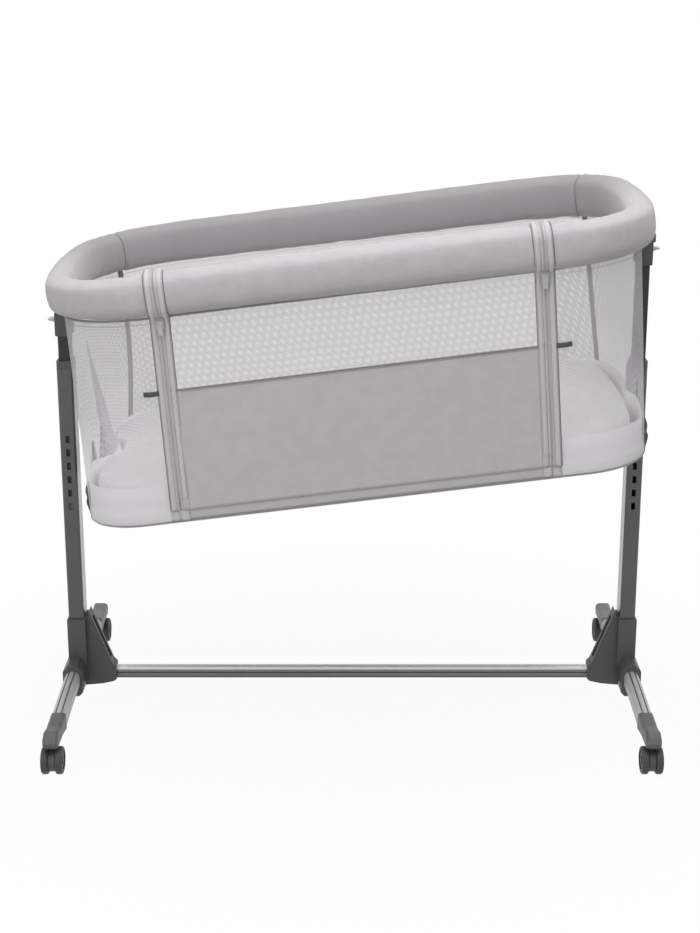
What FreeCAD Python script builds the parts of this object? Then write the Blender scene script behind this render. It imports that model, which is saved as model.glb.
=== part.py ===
import FreeCAD, Part
import math
import os
import Sketcher
from FreeCAD import Placement, Rotation, Vector

# Bedside sleeper crib, shown with its left end on the lowest notch and its right end on the highest.
# Millimetres. The origin lies on the floor under the middle of the base. +X runs along the crib to
# the right, +Y away from the drop side, +Z up. The basket's pieces are drawn in the basket's own
# level frame, whose origin is the middle of the rim, and are then tilted onto the legs together.

SIZES = {
    # casters
    "wheel_diameter": 42, "wheel_width": 11, "wheel_round": 3.5, "fork_width": 9.4, "caster_trail": 9,
    "axle_diameter": 6, "stem_diameter": 8, "stem_length": 17, "turning_gap": 2.2,
    # feet
    "foot_x": 449, "caster_spacing": 524, "foot_width": 23, "foot_height": 31, "foot_wall": 2,
    "foot_round": 10.5, "foot_reach": 196, "foot_end_height": 53.5, "foot_arch": 9,
    "groove_width": 1.6, "groove_depth": 0.8, "groove_spacing": 6,
    "cap_length": 88, "cap_spigot": 16, "spigot_clearance": 0.1,
    # cross bar
    "bar_height": 22, "bar_depth": 14, "bar_round": 6, "bar_wall": 1.6, "bar_centre_height": 53.5,
    "bar_seat": 15,
    # hubs
    "hub_reach": 60, "hub_socket_top": 152, "hub_socket_width": 29, "hub_socket_depth": 46,
    "hub_apex_height": 163, "gusset_depth": 26, "hood_width": 31, "hood_length": 116,
    "hood_top": 86, "hub_floor_gap": 34, "channel_width": 12, "channel_depth": 5, "screw_diameter": 8,
    # legs
    "leg_x": 445, "outer_leg_width": 25, "outer_leg_depth": 38, "outer_leg_wall": 1.6,
    "outer_leg_round": 3.5, "outer_leg_top": 564, "leg_seat_height": 82,
    "collar_height": 14, "collar_insert": 26, "slide_clearance": 0.3,
    "slot_count": 6, "slot_pitch": 22, "lowest_slot_height": 343, "slot_width": 6.2, "slot_height": 11.4,
    "inner_leg_width": 18, "inner_leg_depth": 31, "inner_leg_wall": 1.5, "inner_leg_round": 2.6,
    "inner_leg_below_catch": 25,
    # leg heads, catches and levers
    "head_width": 24, "head_depth": 36, "head_below_pivot": 45, "head_seat": 14, "ear_round": 7.5,
    "pivot_height": 662, "pivot_drop": 42, "pivot_diameter": 8, "running_clearance": 0.05,
    "tang_thickness": 8, "tang_clearance": 0.3, "pivot_slot_travel": 7.6,
    "lever_below_pivot": 21, "lever_pivot_inset": 7, "lever_thickness": 5, "lever_width": 18,
    "lever_reach": 24, "lever_pin_diameter": 3, "rod_inset": 4.6, "rod_diameter": 4,
    "catch_width": 5.6, "catch_height": 10.8, "catch_clearance": 0.2, "catch_pin_diameter": 2.4,
    "catch_in_turn": 6, "catch_out_turn": 12,
    # rim
    "rim_half_length": 435.5, "rim_half_width": 243, "rim_corner": 145, "rim_end_round": 900,
    "padding_width": 48, "padding_height": 64, "padding_round": 22, "frame_tube_diameter": 20,
    "frame_tube_wall": 1.2,
    "seam_x": 385, "zip_x": 270, "zip_gap": 1.5, "bracket_length": 24,
    # basket walls and floor
    "wall_top_half_length": 434, "wall_top_half_width": 250, "wall_top_corner": 143,
    "wall_depth": 318, "floor_half_length": 424, "floor_half_width": 245, "floor_corner": 95,
    "floor_end_round": 1600, "floor_sway": 14, "wall_thickness": 2.5, "panel_top_depth": 138,
    "leg_recess_width": 48, "leg_gap": 1.3, "cover_depth": 16.8, "cover_inset": 10, "panel_gap": 0.5,
    "floor_tube_diameter": 12, "floor_tube_wall": 1.2, "board_end_inset": 38, "board_side_inset": 11,
    "board_sway": 9, "board_thickness": 5,
    "mattress_thickness": 40, "mattress_crown": 7, "mattress_side_inset": 5, "mattress_end_inset": 12,
    "mattress_leg_gap": 5,
    # zips, loops
    "tape_width": 11, "tape_thickness": 1.2, "slider_width": 12, "slider_length": 16,
    "slider_thickness": 3.2, "pull_length": 20, "pull_width": 7, "pull_thickness": 1.4,
    "loop_length": 26, "loop_width": 7, "loop_thickness": 2.4, "loop_depth": 140, "loop_from_zip": 21.5,
}

doc = FreeCAD.newDocument("bedside_sleeper")
sheet = doc.addObject("Spreadsheet::Sheet", "Sizes")
nodes = []


class Measure:
    """A length known both as a number and as a formula on the sheet."""

    def __init__(self, value, formula):
        self.value = value
        self.formula = formula

    def __float__(self):
        return float(self.value)

    def __add__(self, other):
        return Measure(self.value + float(other), f"({self.formula} + {text_of(other)})")

    def __radd__(self, other):
        return Measure(float(other) + self.value, f"({text_of(other)} + {self.formula})")

    def __sub__(self, other):
        return Measure(self.value - float(other), f"({self.formula} - {text_of(other)})")

    def __rsub__(self, other):
        return Measure(float(other) - self.value, f"({text_of(other)} - {self.formula})")

    def __mul__(self, other):
        return Measure(self.value * float(other), f"({self.formula} * {text_of(other)})")

    __rmul__ = __mul__

    def __truediv__(self, other):
        return Measure(self.value / float(other), f"({self.formula} / {text_of(other)})")

    def __neg__(self):
        return Measure(-self.value, f"(-{self.formula})")


def text_of(number):
    return number.formula if isinstance(number, Measure) else f"({float(number):.9g})"


class SizeTable:
    """Writes the driving sizes into the sheet and hands them back by name."""

    def __init__(self, sizes):
        for row, (alias, number) in enumerate(sizes.items(), start=1):
            sheet.set(f"A{row}", alias)
            sheet.set(f"B{row}", str(number))
            sheet.setAlias(f"B{row}", alias)
        doc.recompute()

    def __getattr__(self, alias):
        return Measure(float(getattr(sheet, alias)), f"Sizes.{alias}")


size = SizeTable(SIZES)


def mm(alias):
    """The named size as a plain number."""
    return float(getattr(sheet, alias))


# ---------------------------------------------------------------- sketches and features


def bind(item, path, length):
    """Set a property from a size and keep it tied to the sheet."""
    if isinstance(length, Measure):
        item.setExpression(path, length.formula)


def place(item, x=0.0, y=0.0, z=0.0):
    item.Placement = Placement(Vector(float(x), float(y), float(z)), Rotation())
    for axis, length in (("x", x), ("y", y), ("z", z)):
        bind(item, f"Placement.Base.{axis}", length)


def new_body(label):
    body = doc.addObject("PartDesign::Body", label)
    body.Label = label
    return body


def new_sketch(body, role):
    """An empty sketch on one of the body's own origin planes."""
    sketch = body.newObject("Sketcher::SketchObject", f"{body.Name}_sketch")
    plane = next(feature for feature in body.Origin.OriginFeatures if feature.Role == role)
    sketch.AttachmentSupport = (plane, [""])
    sketch.MapMode = "FlatFace"
    return sketch


def fix_point(sketch, edge, end, u, v):
    """Hold one end of a sketch line at (u, v) from the sketch's origin."""
    for kind, length in (("DistanceX", u), ("DistanceY", v)):
        index = sketch.addConstraint(Sketcher.Constraint(kind, -1, 1, edge, end, float(length)))
        bind(sketch, f"Constraints[{index}]", length)


def polygon(sketch, corners):
    """A closed outline of straight lines through the corners, each corner tied to its sizes."""
    count = len(corners)
    points = [Vector(float(u), float(v), 0) for u, v in corners]
    first = sketch.GeometryCount
    for index in range(count):
        sketch.addGeometry(Part.LineSegment(points[index], points[(index + 1) % count]))
    for index in range(count):
        following = first + (index + 1) % count
        sketch.addConstraint(Sketcher.Constraint("Coincident", first + index, 2, following, 1))
        fix_point(sketch, first + index, 1, *corners[index])


def rectangle(sketch, left, right, bottom, top):
    polygon(sketch, [(left, bottom), (right, bottom), (right, top), (left, top)])


def rounded_rectangle(sketch, width, height, radius, v_centre=0.0):
    """A rectangle with tangent corner arcs, centred across and at v_centre up the sketch."""
    a, b, r, v = float(width) / 2, float(height) / 2, float(radius), float(v_centre)
    corners = [(a - r, -b + r, -90), (a - r, b - r, 0), (-a + r, b - r, 90), (-a + r, -b + r, 180)]
    sides = [((-a + r, -b), (a - r, -b)), ((a, -b + r), (a, b - r)),
             ((a - r, b), (-a + r, b)), ((-a, b - r), (-a, -b + r))]
    loop = []
    for (start, end), (u, w, angle) in zip(sides, corners):
        line = Part.LineSegment(Vector(start[0], start[1] + v, 0), Vector(end[0], end[1] + v, 0))
        circle = Part.Circle(Vector(u, w + v, 0), Vector(0, 0, 1), r)
        loop.append(sketch.addGeometry(line))
        loop.append(sketch.addGeometry(
            Part.ArcOfCircle(circle, math.radians(angle), math.radians(angle + 90))))
    for index in range(8):
        sketch.addConstraint(
            Sketcher.Constraint("Tangent", loop[index], 2, loop[(index + 1) % 8], 1))
    for index, kind in ((0, "Horizontal"), (2, "Vertical"), (4, "Horizontal"), (6, "Vertical")):
        sketch.addConstraint(Sketcher.Constraint(kind, loop[index]))
    for index in (3, 5, 7):
        sketch.addConstraint(Sketcher.Constraint("Equal", loop[1], loop[index]))
    index = sketch.addConstraint(Sketcher.Constraint("Radius", loop[1], r))
    bind(sketch, f"Constraints[{index}]", radius)
    reach = ((loop[2], "DistanceX", width / 2), (loop[6], "DistanceX", -(width / 2)),
             (loop[4], "DistanceY", height / 2 + v_centre), (loop[0], "DistanceY", v_centre - height / 2))
    for edge, kind, length in reach:
        index = sketch.addConstraint(Sketcher.Constraint(kind, -1, 1, edge, 1, float(length)))
        bind(sketch, f"Constraints[{index}]", length)


def circle_at(sketch, u, v, diameter):
    edge = sketch.addGeometry(
        Part.Circle(Vector(float(u), float(v), 0), Vector(0, 0, 1), float(diameter) / 2))
    fix_point(sketch, edge, 3, u, v)
    index = sketch.addConstraint(Sketcher.Constraint("Diameter", edge, float(diameter)))
    bind(sketch, f"Constraints[{index}]", diameter)


def pad(body, sketch, length, both_ways=False, towards_minus=False):
    feature = body.newObject("PartDesign::Pad", f"{body.Name}_pad")
    feature.Profile = sketch
    feature.Length = float(length)
    bind(feature, "Length", length)
    feature.SideType = "Symmetric" if both_ways else "One side"
    feature.Reversed = towards_minus
    return feature


def pocket(body, sketch, length=None, both_ways=False, towards_plus=True):
    """Cut along the sketch's normal, or through everything where no length is given."""
    feature = body.newObject("PartDesign::Pocket", f"{body.Name}_pocket")
    feature.Profile = sketch
    feature.Type = "ThroughAll" if length is None else "Length"
    if length is not None:
        feature.Length = float(length)
        bind(feature, "Length", length)
    feature.SideType = "Symmetric" if both_ways else "One side"
    feature.Reversed = towards_plus
    before = body.Shape.Volume if not body.Shape.isNull() else 0
    doc.recompute()
    assert body.Shape.Volume < before - 1e-3, f"{body.Label}: {feature.Name} cuts nothing"
    return feature


def finish(item, label=None):
    """Count an object as one of the crib's pieces."""
    item.Label = label or item.Label
    nodes.append(item)
    return item


def feature(label, shape, placement=Placement()):
    """An object that holds a swept or lofted shape, drawn in its own frame and then placed."""
    item = doc.addObject("Part::Feature", label)
    item.Shape = shape
    item.Placement = placement.multiply(shape.Placement)
    return item


def solid_piece(label, shape, placement=Placement()):
    return finish(feature(label, shape, placement), label)


def group_piece(label, members):
    """Several separate solids that share one name."""
    item = doc.addObject("Part::Compound", label)
    item.Links = members
    return finish(item, label)


def block(x0, x1, y0, y1, z0, z1):
    """A box between two corners, in any order."""
    low = Vector(min(x0, x1), min(y0, y1), min(z0, z1))
    return Part.makeBox(abs(x1 - x0), abs(y1 - y0), abs(z1 - z0), low)


def rod_along(axis, centre, length, radius):
    """A cylinder centred on a point and lying along an axis."""
    direction = Vector(*axis)
    return Part.makeCylinder(radius, length, Vector(*centre) - direction * (length / 2), direction)


def prism_xz(corners, y0, y1):
    """A straight prism of an outline in the XZ plane between two depths."""
    points = [Vector(x, y0, z) for x, z in corners]
    return Part.Face(Part.makePolygon(points + points[:1])).extrude(Vector(0, y1 - y0, 0))


# ---------------------------------------------------------------- places worked out from the sizes

LEFT, RIGHT = -1, 1
SIDE_NAMES = {LEFT: "left", RIGHT: "right"}
FRONT, REAR = -1, 1
END_NAMES = {FRONT: "front", REAR: "rear"}

travel = mm("slot_pitch") * (mm("slot_count") - 1)
catch_height = {LEFT: mm("lowest_slot_height"), RIGHT: mm("lowest_slot_height") + travel}
pivot_z = {LEFT: mm("pivot_height"), RIGHT: mm("pivot_height") + travel}
tilt = math.atan2(travel, 2 * mm("leg_x"))
pivot_reach = mm("leg_x") / math.cos(tilt)
rim_centre = Vector(
    -mm("pivot_drop") * math.sin(tilt),
    0,
    (pivot_z[LEFT] + pivot_z[RIGHT]) / 2 + mm("pivot_drop") * math.cos(tilt),
)
basket_place = Placement(rim_centre, Rotation(Vector(0, -1, 0), math.degrees(tilt)))


# ---------------------------------------------------------------- base


def foot_section(sketch, shrink):
    rounded_rectangle(sketch, size.foot_width - 2 * shrink, size.foot_height - 2 * shrink,
                      size.foot_round - shrink, foot_mid_height)


foot_mid_height = size.foot_end_height + size.foot_arch
arch_radius = (mm("foot_reach") ** 2 + mm("foot_arch") ** 2) / (2 * mm("foot_arch"))
arch_half_angle = math.degrees(math.asin(mm("foot_reach") / arch_radius))


def turn_about_arch(body, kind, shrink, half_angle):
    """Turn the foot's section about the axis of its long shallow arch."""
    sketch = new_sketch(body, "XZ_Plane")
    foot_section(sketch, shrink)
    axis_height = float(foot_mid_height) - arch_radius
    axis = sketch.addGeometry(
        Part.LineSegment(Vector(-50, axis_height, 0), Vector(50, axis_height, 0)), True)
    sketch.addConstraint(Sketcher.Constraint("Horizontal", axis))
    sketch.addConstraint(Sketcher.Constraint("DistanceX", axis, 1, axis, 2, 100.0))
    fix_point(sketch, axis, 1, -50.0, axis_height)
    feature = body.newObject(f"PartDesign::{kind}", f"{body.Name}_{kind}")
    feature.Profile = sketch
    feature.ReferenceAxis = (sketch, ["Axis0"])
    feature.Midplane = True
    feature.Angle = 2 * half_angle
    return feature


def foot_tube(side):
    """The arched oval tube that joins the two casters of one side through the hub."""
    body = new_body(f"{SIDE_NAMES[side]}_foot_tube")
    turn_about_arch(body, "Revolution", 0.0, arch_half_angle)
    turn_about_arch(body, "Groove", size.foot_wall, arch_half_angle + 1)
    for offset in (-0.5, 0.5):
        sketch = new_sketch(body, "XZ_Plane")
        middle = size.groove_spacing * offset
        top = foot_mid_height + size.foot_height / 2
        rectangle(sketch, middle - size.groove_width / 2, middle + size.groove_width / 2,
                  top - size.groove_depth, top + 1)
        axis_height = float(foot_mid_height) - arch_radius
        axis = sketch.addGeometry(
            Part.LineSegment(Vector(-50, axis_height, 0), Vector(50, axis_height, 0)), True)
        sketch.addConstraint(Sketcher.Constraint("Horizontal", axis))
        sketch.addConstraint(Sketcher.Constraint("DistanceX", axis, 1, axis, 2, 100.0))
        fix_point(sketch, axis, 1, -50.0, axis_height)
        feature = body.newObject("PartDesign::Groove", f"{body.Name}_line")
        feature.Profile = sketch
        feature.ReferenceAxis = (sketch, ["Axis0"])
        feature.Midplane = True
        feature.Angle = 2 * arch_half_angle + 2
    place(body, x=side * size.foot_x)
    return finish(body)


def foot_blank(shrink, half_angle):
    """The foot tube's outer form as a plain solid, used to seat the pieces on it."""
    a, b = mm("foot_width") / 2 - shrink, mm("foot_height") / 2 - shrink
    r, middle = mm("foot_round") - shrink, float(foot_mid_height)
    section = rounded_face(a, b, r, "xz").translated(Vector(0, 0, middle))
    section.rotate(Vector(0, 0, middle - arch_radius), Vector(1, 0, 0), -half_angle)
    return section.revolve(Vector(0, 0, middle - arch_radius), Vector(1, 0, 0), 2 * half_angle)


def rounded_face(a, b, r, plane):
    """A flat rounded rectangle of half sizes a and b, in the XZ or the YZ plane."""
    def at(u, v):
        return Vector(u, 0, v) if plane == "xz" else Vector(0, u, v)
    edges = []
    for u, v, turn in ((a, b, 0), (-a, b, 90), (-a, -b, 180), (a, -b, 270)):
        cu, cv = math.copysign(a - r, u), math.copysign(b - r, v)
        arc = [at(cu + r * math.cos(math.radians(turn + step)),
                  cv + r * math.sin(math.radians(turn + step))) for step in (0, 45, 90)]
        edges.append(arc)
    outline = []
    for index, arc in enumerate(edges):
        following = edges[(index + 1) % 4]
        outline.append(Part.Arc(*arc).toShape())
        if (following[0] - arc[2]).Length > 1e-6:
            outline.append(Part.LineSegment(arc[2], following[0]).toShape())
    return Part.Face(Part.Wire(outline))


def end_cap(side, end):
    """The curved plastic end of a foot, which carries a caster's stem."""
    label = f"{END_NAMES[end]}_{SIDE_NAMES[side]}_end_cap"
    body = new_body(label)
    sketch = new_sketch(body, "YZ_Plane")
    slope = math.radians(arch_half_angle)
    half, middle, start = mm("foot_height") / 2, mm("foot_end_height"), mm("foot_reach")
    low_y, low_z = start - half * math.sin(slope), middle - half * math.cos(slope)
    top_y, top_z = start + half * math.sin(slope), middle + half * math.cos(slope)
    under = mm("wheel_diameter") + mm("turning_gap")
    far = start + mm("cap_length")
    outline = [(low_y, low_z), (mm("caster_spacing") / 2 - 34, under), (far - 10, under),
               (far - 2, under + 6), (far, under + 13), (far - 5, under + 20), (far - 18, under + 26),
               (far - 44, top_z - 2.5), (top_y, top_z)]
    polygon(sketch, [(end * y, z) for y, z in outline])
    pad(body, sketch, size.foot_width, both_ways=True)
    spigot = new_sketch(body, "XZ_Plane")
    spigot.AttachmentOffset = Placement(
        Vector(0, middle, -end * start), Rotation(Vector(1, 0, 0), -end * math.degrees(slope)))
    shrink = size.foot_wall + size.spigot_clearance
    rounded_rectangle(spigot, size.foot_width - 2 * shrink, size.foot_height - 2 * shrink,
                      size.foot_round - shrink)
    pad(body, spigot, size.cap_spigot, towards_minus=end == FRONT)
    bore = new_sketch(body, "XY_Plane")
    stem_y = size.caster_spacing / 2 - size.caster_trail
    circle_at(bore, 0.0, end * stem_y, size.stem_diameter + 2 * size.running_clearance)
    doc.recompute()
    pocket(body, bore, size.wheel_diameter + size.turning_gap + size.stem_length - 3)
    tip = body.Tip
    rounding = body.newObject("PartDesign::Fillet", f"{label}_rounding")
    long_edges = [f"Edge{number}" for number, edge in enumerate(tip.Shape.Edges, start=1)
                  if is_cap_rim(edge, end * start)]
    rounding.Base = (tip, long_edges)
    rounding.Radius = 5
    place(body, x=side * size.foot_x)
    return finish(body)


def is_cap_rim(edge, start):
    """True for the long edges of a cap's two flat sides, away from the tube's end."""
    box = edge.BoundBox
    on_side = abs(abs(box.XMin) - mm("foot_width") / 2) < 0.01 and box.XLength < 0.01
    touches_tube = abs(edge.CenterOfMass.y - start) < 4 and box.YLength < 6
    return on_side and not touches_tube


def cross_bar():
    """The grooved oval bar that holds the two hubs apart."""
    body = new_body("cross_bar")
    half = size.leg_x - size.hub_reach + size.bar_seat
    outer = new_sketch(body, "YZ_Plane")
    rounded_rectangle(outer, size.bar_depth, size.bar_height, size.bar_round)
    pad(body, outer, half * 2, both_ways=True)
    inner = new_sketch(body, "YZ_Plane")
    rounded_rectangle(inner, size.bar_depth - 2 * size.bar_wall, size.bar_height - 2 * size.bar_wall,
                      size.bar_round - size.bar_wall)
    doc.recompute()
    pocket(body, inner, both_ways=True)
    for face in (FRONT, REAR):
        for level in (-0.5, 0.5):
            line = new_sketch(body, "YZ_Plane")
            middle = size.groove_spacing * level
            surface = size.bar_depth / 2
            edges = sorted([face * (surface - size.groove_depth), face * (surface + 1)], key=float)
            rectangle(line, edges[0], edges[1], middle - size.groove_width / 2,
                      middle + size.groove_width / 2)
            doc.recompute()
            pocket(body, line, both_ways=True)
    place(body, z=size.bar_centre_height)
    return finish(body)


def hub(side):
    """The moulded hub: leg socket on top, foot tube through it, cross bar into its inner end."""
    body = new_body(f"{SIDE_NAMES[side]}_hub")
    inward = -side
    half_width = size.hub_socket_width / 2
    block_outline = [(-half_width, size.hood_top - 14), (half_width, size.hood_top - 14),
                     (half_width, size.hub_socket_top), (-half_width, size.hub_socket_top)]
    gusset_outline = [
        (-half_width, size.hub_floor_gap + 8), (6.0, size.hub_floor_gap),
        (size.hub_reach - 22, size.hub_floor_gap + 3), (size.hub_reach - 4, size.hub_floor_gap + 7),
        (size.hub_reach, size.hub_floor_gap + 10),
        (size.hub_reach, size.bar_centre_height + size.bar_height / 2 + 2.5),
        (size.hub_reach - 6, size.bar_centre_height + size.bar_height / 2 + 9),
        (half_width + 5, size.hub_apex_height), (half_width - 1, size.hub_socket_top - 4),
        (-half_width, size.hub_socket_top - 30)]
    hood_mid = size.leg_x - size.foot_x
    hood_outline = [
        (hood_mid - size.hood_width / 2, size.hub_floor_gap + 6),
        (hood_mid - size.hood_width / 2 + 6, size.hub_floor_gap),
        (hood_mid + size.hood_width / 2 - 6, size.hub_floor_gap),
        (hood_mid + size.hood_width / 2, size.hub_floor_gap + 6),
        (hood_mid + size.hood_width / 2, size.hood_top - 10),
        (hood_mid + size.hood_width / 2 - 8, size.hood_top),
        (hood_mid - size.hood_width / 2 + 8, size.hood_top),
        (hood_mid - size.hood_width / 2, size.hood_top - 10)]
    for outline, depth in ((block_outline, size.hub_socket_depth), (gusset_outline, size.gusset_depth),
                           (hood_outline, size.hood_length)):
        sketch = new_sketch(body, "XZ_Plane")
        polygon(sketch, [(inward * u, v) for u, v in outline])
        pad(body, sketch, depth, both_ways=True)
        doc.recompute()
    socket = new_sketch(body, "XY_Plane")
    socket.AttachmentOffset = Placement(Vector(0, 0, mm("leg_seat_height")), Rotation())
    socket.setExpression("AttachmentOffset.Base.z", "Sizes.leg_seat_height")
    rounded_rectangle(socket, size.outer_leg_width, size.outer_leg_depth, size.outer_leg_round)
    doc.recompute()
    pocket(body, socket)
    bar_hole = new_sketch(body, "YZ_Plane")
    offset = inward * (mm("hub_reach") - mm("bar_seat"))
    bar_hole.AttachmentOffset = Placement(Vector(0, 0, offset), Rotation())
    rounded_rectangle(bar_hole, size.bar_depth, size.bar_height, size.bar_round, size.bar_centre_height)
    doc.recompute()
    pocket(body, bar_hole, towards_plus=inward > 0)
    channel = new_sketch(body, "XZ_Plane")
    top_u, top_v = half_width + 5, size.hub_apex_height
    low_u, low_v = size.hub_reach - 6, size.bar_centre_height + size.bar_height / 2 + 9
    polygon(channel, [(inward * u, v) for u, v in [
        (top_u + 2 - size.channel_depth, top_v - 16), (top_u + 6 + size.channel_depth, top_v - 10),
        (low_u + size.channel_depth, low_v + 10), (low_u - size.channel_depth - 1, low_v + 5)]])
    doc.recompute()
    pocket(body, channel, size.channel_width, both_ways=True)
    place(body, x=side * size.leg_x)
    doc.recompute()
    seat = foot_blank(0.0, math.degrees(mm("hood_length") / arch_radius))
    seat.translate(Vector(side * mm("foot_x"), 0, 0))
    seated = feature(f"{SIDE_NAMES[side]}_foot_seat", seat)
    cut = doc.addObject("Part::Cut", f"{SIDE_NAMES[side]}_hub_bored")
    cut.Base = body
    cut.Tool = seated
    body.Label = f"{SIDE_NAMES[side]}_hub_blank"
    return finish(cut, f"{SIDE_NAMES[side]}_hub")


def hub_screws():
    """Four screws that pin the foot tube in the hubs, two on each hub."""
    screws = []
    radius = mm("screw_diameter") / 2
    for side in (LEFT, RIGHT):
        face_x = side * (mm("foot_x") - mm("hood_width") / 2)
        for end in (FRONT, REAR):
            head = Part.makeSphere(radius * 1.5).common(
                Part.makeCylinder(radius, radius, Vector(0, 0, radius * 0.7)))
            head.translate(Vector(0, 0, -radius * 0.7))
            head = head.cut(Part.makeCylinder(radius * 0.4, radius, Vector(0, 0, radius * 0.45)))
            head.rotate(Vector(), Vector(0, 1, 0), -90 * side)
            head.translate(Vector(face_x, end * mm("hood_length") * 0.36, mm("foot_end_height") - 4))
            screws.append(feature("screw", head))
    return group_piece("hub_screws", screws)


# ---------------------------------------------------------------- casters


def caster(side, end):
    """A twin-wheel caster: a fork with its stem and axle, and the pair of wheels."""
    label = f"{END_NAMES[end]}_{SIDE_NAMES[side]}"
    radius, trail = mm("wheel_diameter") / 2, end * mm("caster_trail")
    under_cap = mm("wheel_diameter") + mm("turning_gap") - 0.3
    half_fork = mm("fork_width") / 2
    stem_y = end * (mm("caster_spacing") / 2 - mm("caster_trail"))
    hood = rod_along((1, 0, 0), (0, trail, radius), mm("fork_width"), radius * 0.8)
    neck = Part.makeCylinder(9, under_cap - radius, Vector(0, 0, radius)).common(
        block(-half_fork, half_fork, -12, 12, radius, under_cap))
    collar = Part.makeCylinder(8, 3, Vector(0, 0, under_cap - 3))
    stem = Part.makeCylinder(mm("stem_diameter") / 2, mm("stem_length") - 4, Vector(0, 0, under_cap))
    wheel_clear = Part.makeCylinder(radius + 1, 60, Vector(-30, trail, radius), Vector(1, 0, 0)).cut(
        block(-half_fork, half_fork, -60, 60, -10, 60))
    fork = hood.fuse([neck, collar]).cut(wheel_clear).fuse(stem).removeSplitter()
    half_axle = half_fork + 0.4 + mm("wheel_width") - 1
    axle = rod_along((1, 0, 0), (0, trail, radius), 2 * half_axle, mm("axle_diameter") / 2)
    fork = fork.cut(axle)
    items = []
    place_at = Placement(Vector(side * mm("foot_x"), stem_y, 0), Rotation())
    for name, shape in (("fork_body", fork), ("axle", axle)):
        items.append(feature(f"{label}_{name}", shape, place_at))
    group_piece(f"{label}_caster_fork", items)
    wheels = []
    for face in (LEFT, RIGHT):
        wheel = Part.makeCylinder(radius, mm("wheel_width"), Vector(), Vector(1, 0, 0))
        wheel = wheel.makeFillet(mm("wheel_round"), [e for e in wheel.Edges if e.BoundBox.XLength < 0.01])
        dish = Part.makeCone(radius * 0.72, radius * 0.66, 1.2, Vector(mm("wheel_width") - 1.2, 0, 0),
                             Vector(1, 0, 0))
        boss = Part.makeCylinder(radius * 0.3, 1.2, Vector(mm("wheel_width") - 1.2, 0, 0),
                                 Vector(1, 0, 0))
        bore = Part.makeCylinder(mm("axle_diameter") / 2 + mm("running_clearance"),
                                 mm("wheel_width") - 0.8, Vector(), Vector(1, 0, 0))
        wheel = wheel.cut(dish).fuse(boss).cut(bore)
        if face == LEFT:
            wheel.rotate(Vector(), Vector(0, 0, 1), 180)
        wheel.translate(Vector(face * (half_fork + 0.4), trail, radius))
        wheels.append(feature(f"{label}_wheel", wheel, place_at))
    return group_piece(f"{label}_caster_wheels", wheels)


# ---------------------------------------------------------------- legs


def outer_leg(side):
    """The fixed leg tube with its column of height slots, front and back."""
    body = new_body(f"{SIDE_NAMES[side]}_outer_leg")
    outer = new_sketch(body, "XY_Plane")
    rounded_rectangle(outer, size.outer_leg_width, size.outer_leg_depth, size.outer_leg_round)
    pad(body, outer, size.outer_leg_top - size.leg_seat_height)
    inner = new_sketch(body, "XY_Plane")
    wall = size.outer_leg_wall
    rounded_rectangle(inner, size.outer_leg_width - 2 * wall, size.outer_leg_depth - 2 * wall,
                      size.outer_leg_round - wall)
    doc.recompute()
    pocket(body, inner)
    slot = new_sketch(body, "XZ_Plane")
    middle = size.lowest_slot_height - size.leg_seat_height
    rectangle(slot, -(size.slot_width / 2), size.slot_width / 2,
              middle - size.slot_height / 2, middle + size.slot_height / 2)
    doc.recompute()
    cut = pocket(body, slot, both_ways=True)
    pattern = body.newObject("PartDesign::LinearPattern", f"{body.Name}_slots")
    pattern.Originals = [cut]
    pattern.Direction = (slot, ["V_Axis"])
    pattern.Length = travel
    pattern.setExpression("Length", "Sizes.slot_pitch * (Sizes.slot_count - 1)")
    pattern.Occurrences = int(mm("slot_count"))
    body.Tip = pattern
    place(body, x=side * size.leg_x, z=size.leg_seat_height)
    return finish(body)


def leg_collars():
    """The plastic bushes at the tops of the outer legs, which the inner legs slide through."""
    collars = []
    for side in (LEFT, RIGHT):
        body = new_body(f"{SIDE_NAMES[side]}_collar")
        ring = new_sketch(body, "XY_Plane")
        rounded_rectangle(ring, size.outer_leg_width, size.outer_leg_depth, size.outer_leg_round)
        pad(body, ring, size.collar_height)
        insert = new_sketch(body, "XY_Plane")
        wall = size.outer_leg_wall
        rounded_rectangle(insert, size.outer_leg_width - 2 * wall, size.outer_leg_depth - 2 * wall,
                          size.outer_leg_round - wall)
        pad(body, insert, size.collar_insert, towards_minus=True)
        bore = new_sketch(body, "XY_Plane")
        gap = size.slide_clearance
        rounded_rectangle(bore, size.inner_leg_width + 2 * gap, size.inner_leg_depth + 2 * gap,
                          size.inner_leg_round + gap)
        doc.recompute()
        pocket(body, bore, both_ways=True)
        place(body, x=side * size.leg_x, z=size.outer_leg_top)
        collars.append(body)
    return group_piece("leg_collars", collars)


def inner_leg(side):
    """The sliding leg tube, with a window in front of its catch."""
    name = SIDE_NAMES[side]
    foot = size.inner_leg_below_catch
    raised = travel if side == RIGHT else 0.0
    body = new_body(f"{name}_inner_leg")
    bottom = size.lowest_slot_height - foot
    outer = new_sketch(body, "XY_Plane")
    rounded_rectangle(outer, size.inner_leg_width, size.inner_leg_depth, size.inner_leg_round)
    pad(body, outer, size.pivot_height - size.head_below_pivot + size.head_seat - bottom)
    inner = new_sketch(body, "XY_Plane")
    wall = size.inner_leg_wall
    rounded_rectangle(inner, size.inner_leg_width - 2 * wall, size.inner_leg_depth - 2 * wall,
                      size.inner_leg_round - wall)
    doc.recompute()
    pocket(body, inner)
    window = new_sketch(body, "XZ_Plane")
    half = size.slot_width / 2
    rectangle(window, -half, half, foot - size.slot_height / 2, foot + size.slot_height / 2)
    doc.recompute()
    pocket(body, window, towards_plus=True)
    place(body, x=side * size.leg_x, z=bottom + raised)
    return finish(body)


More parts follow.
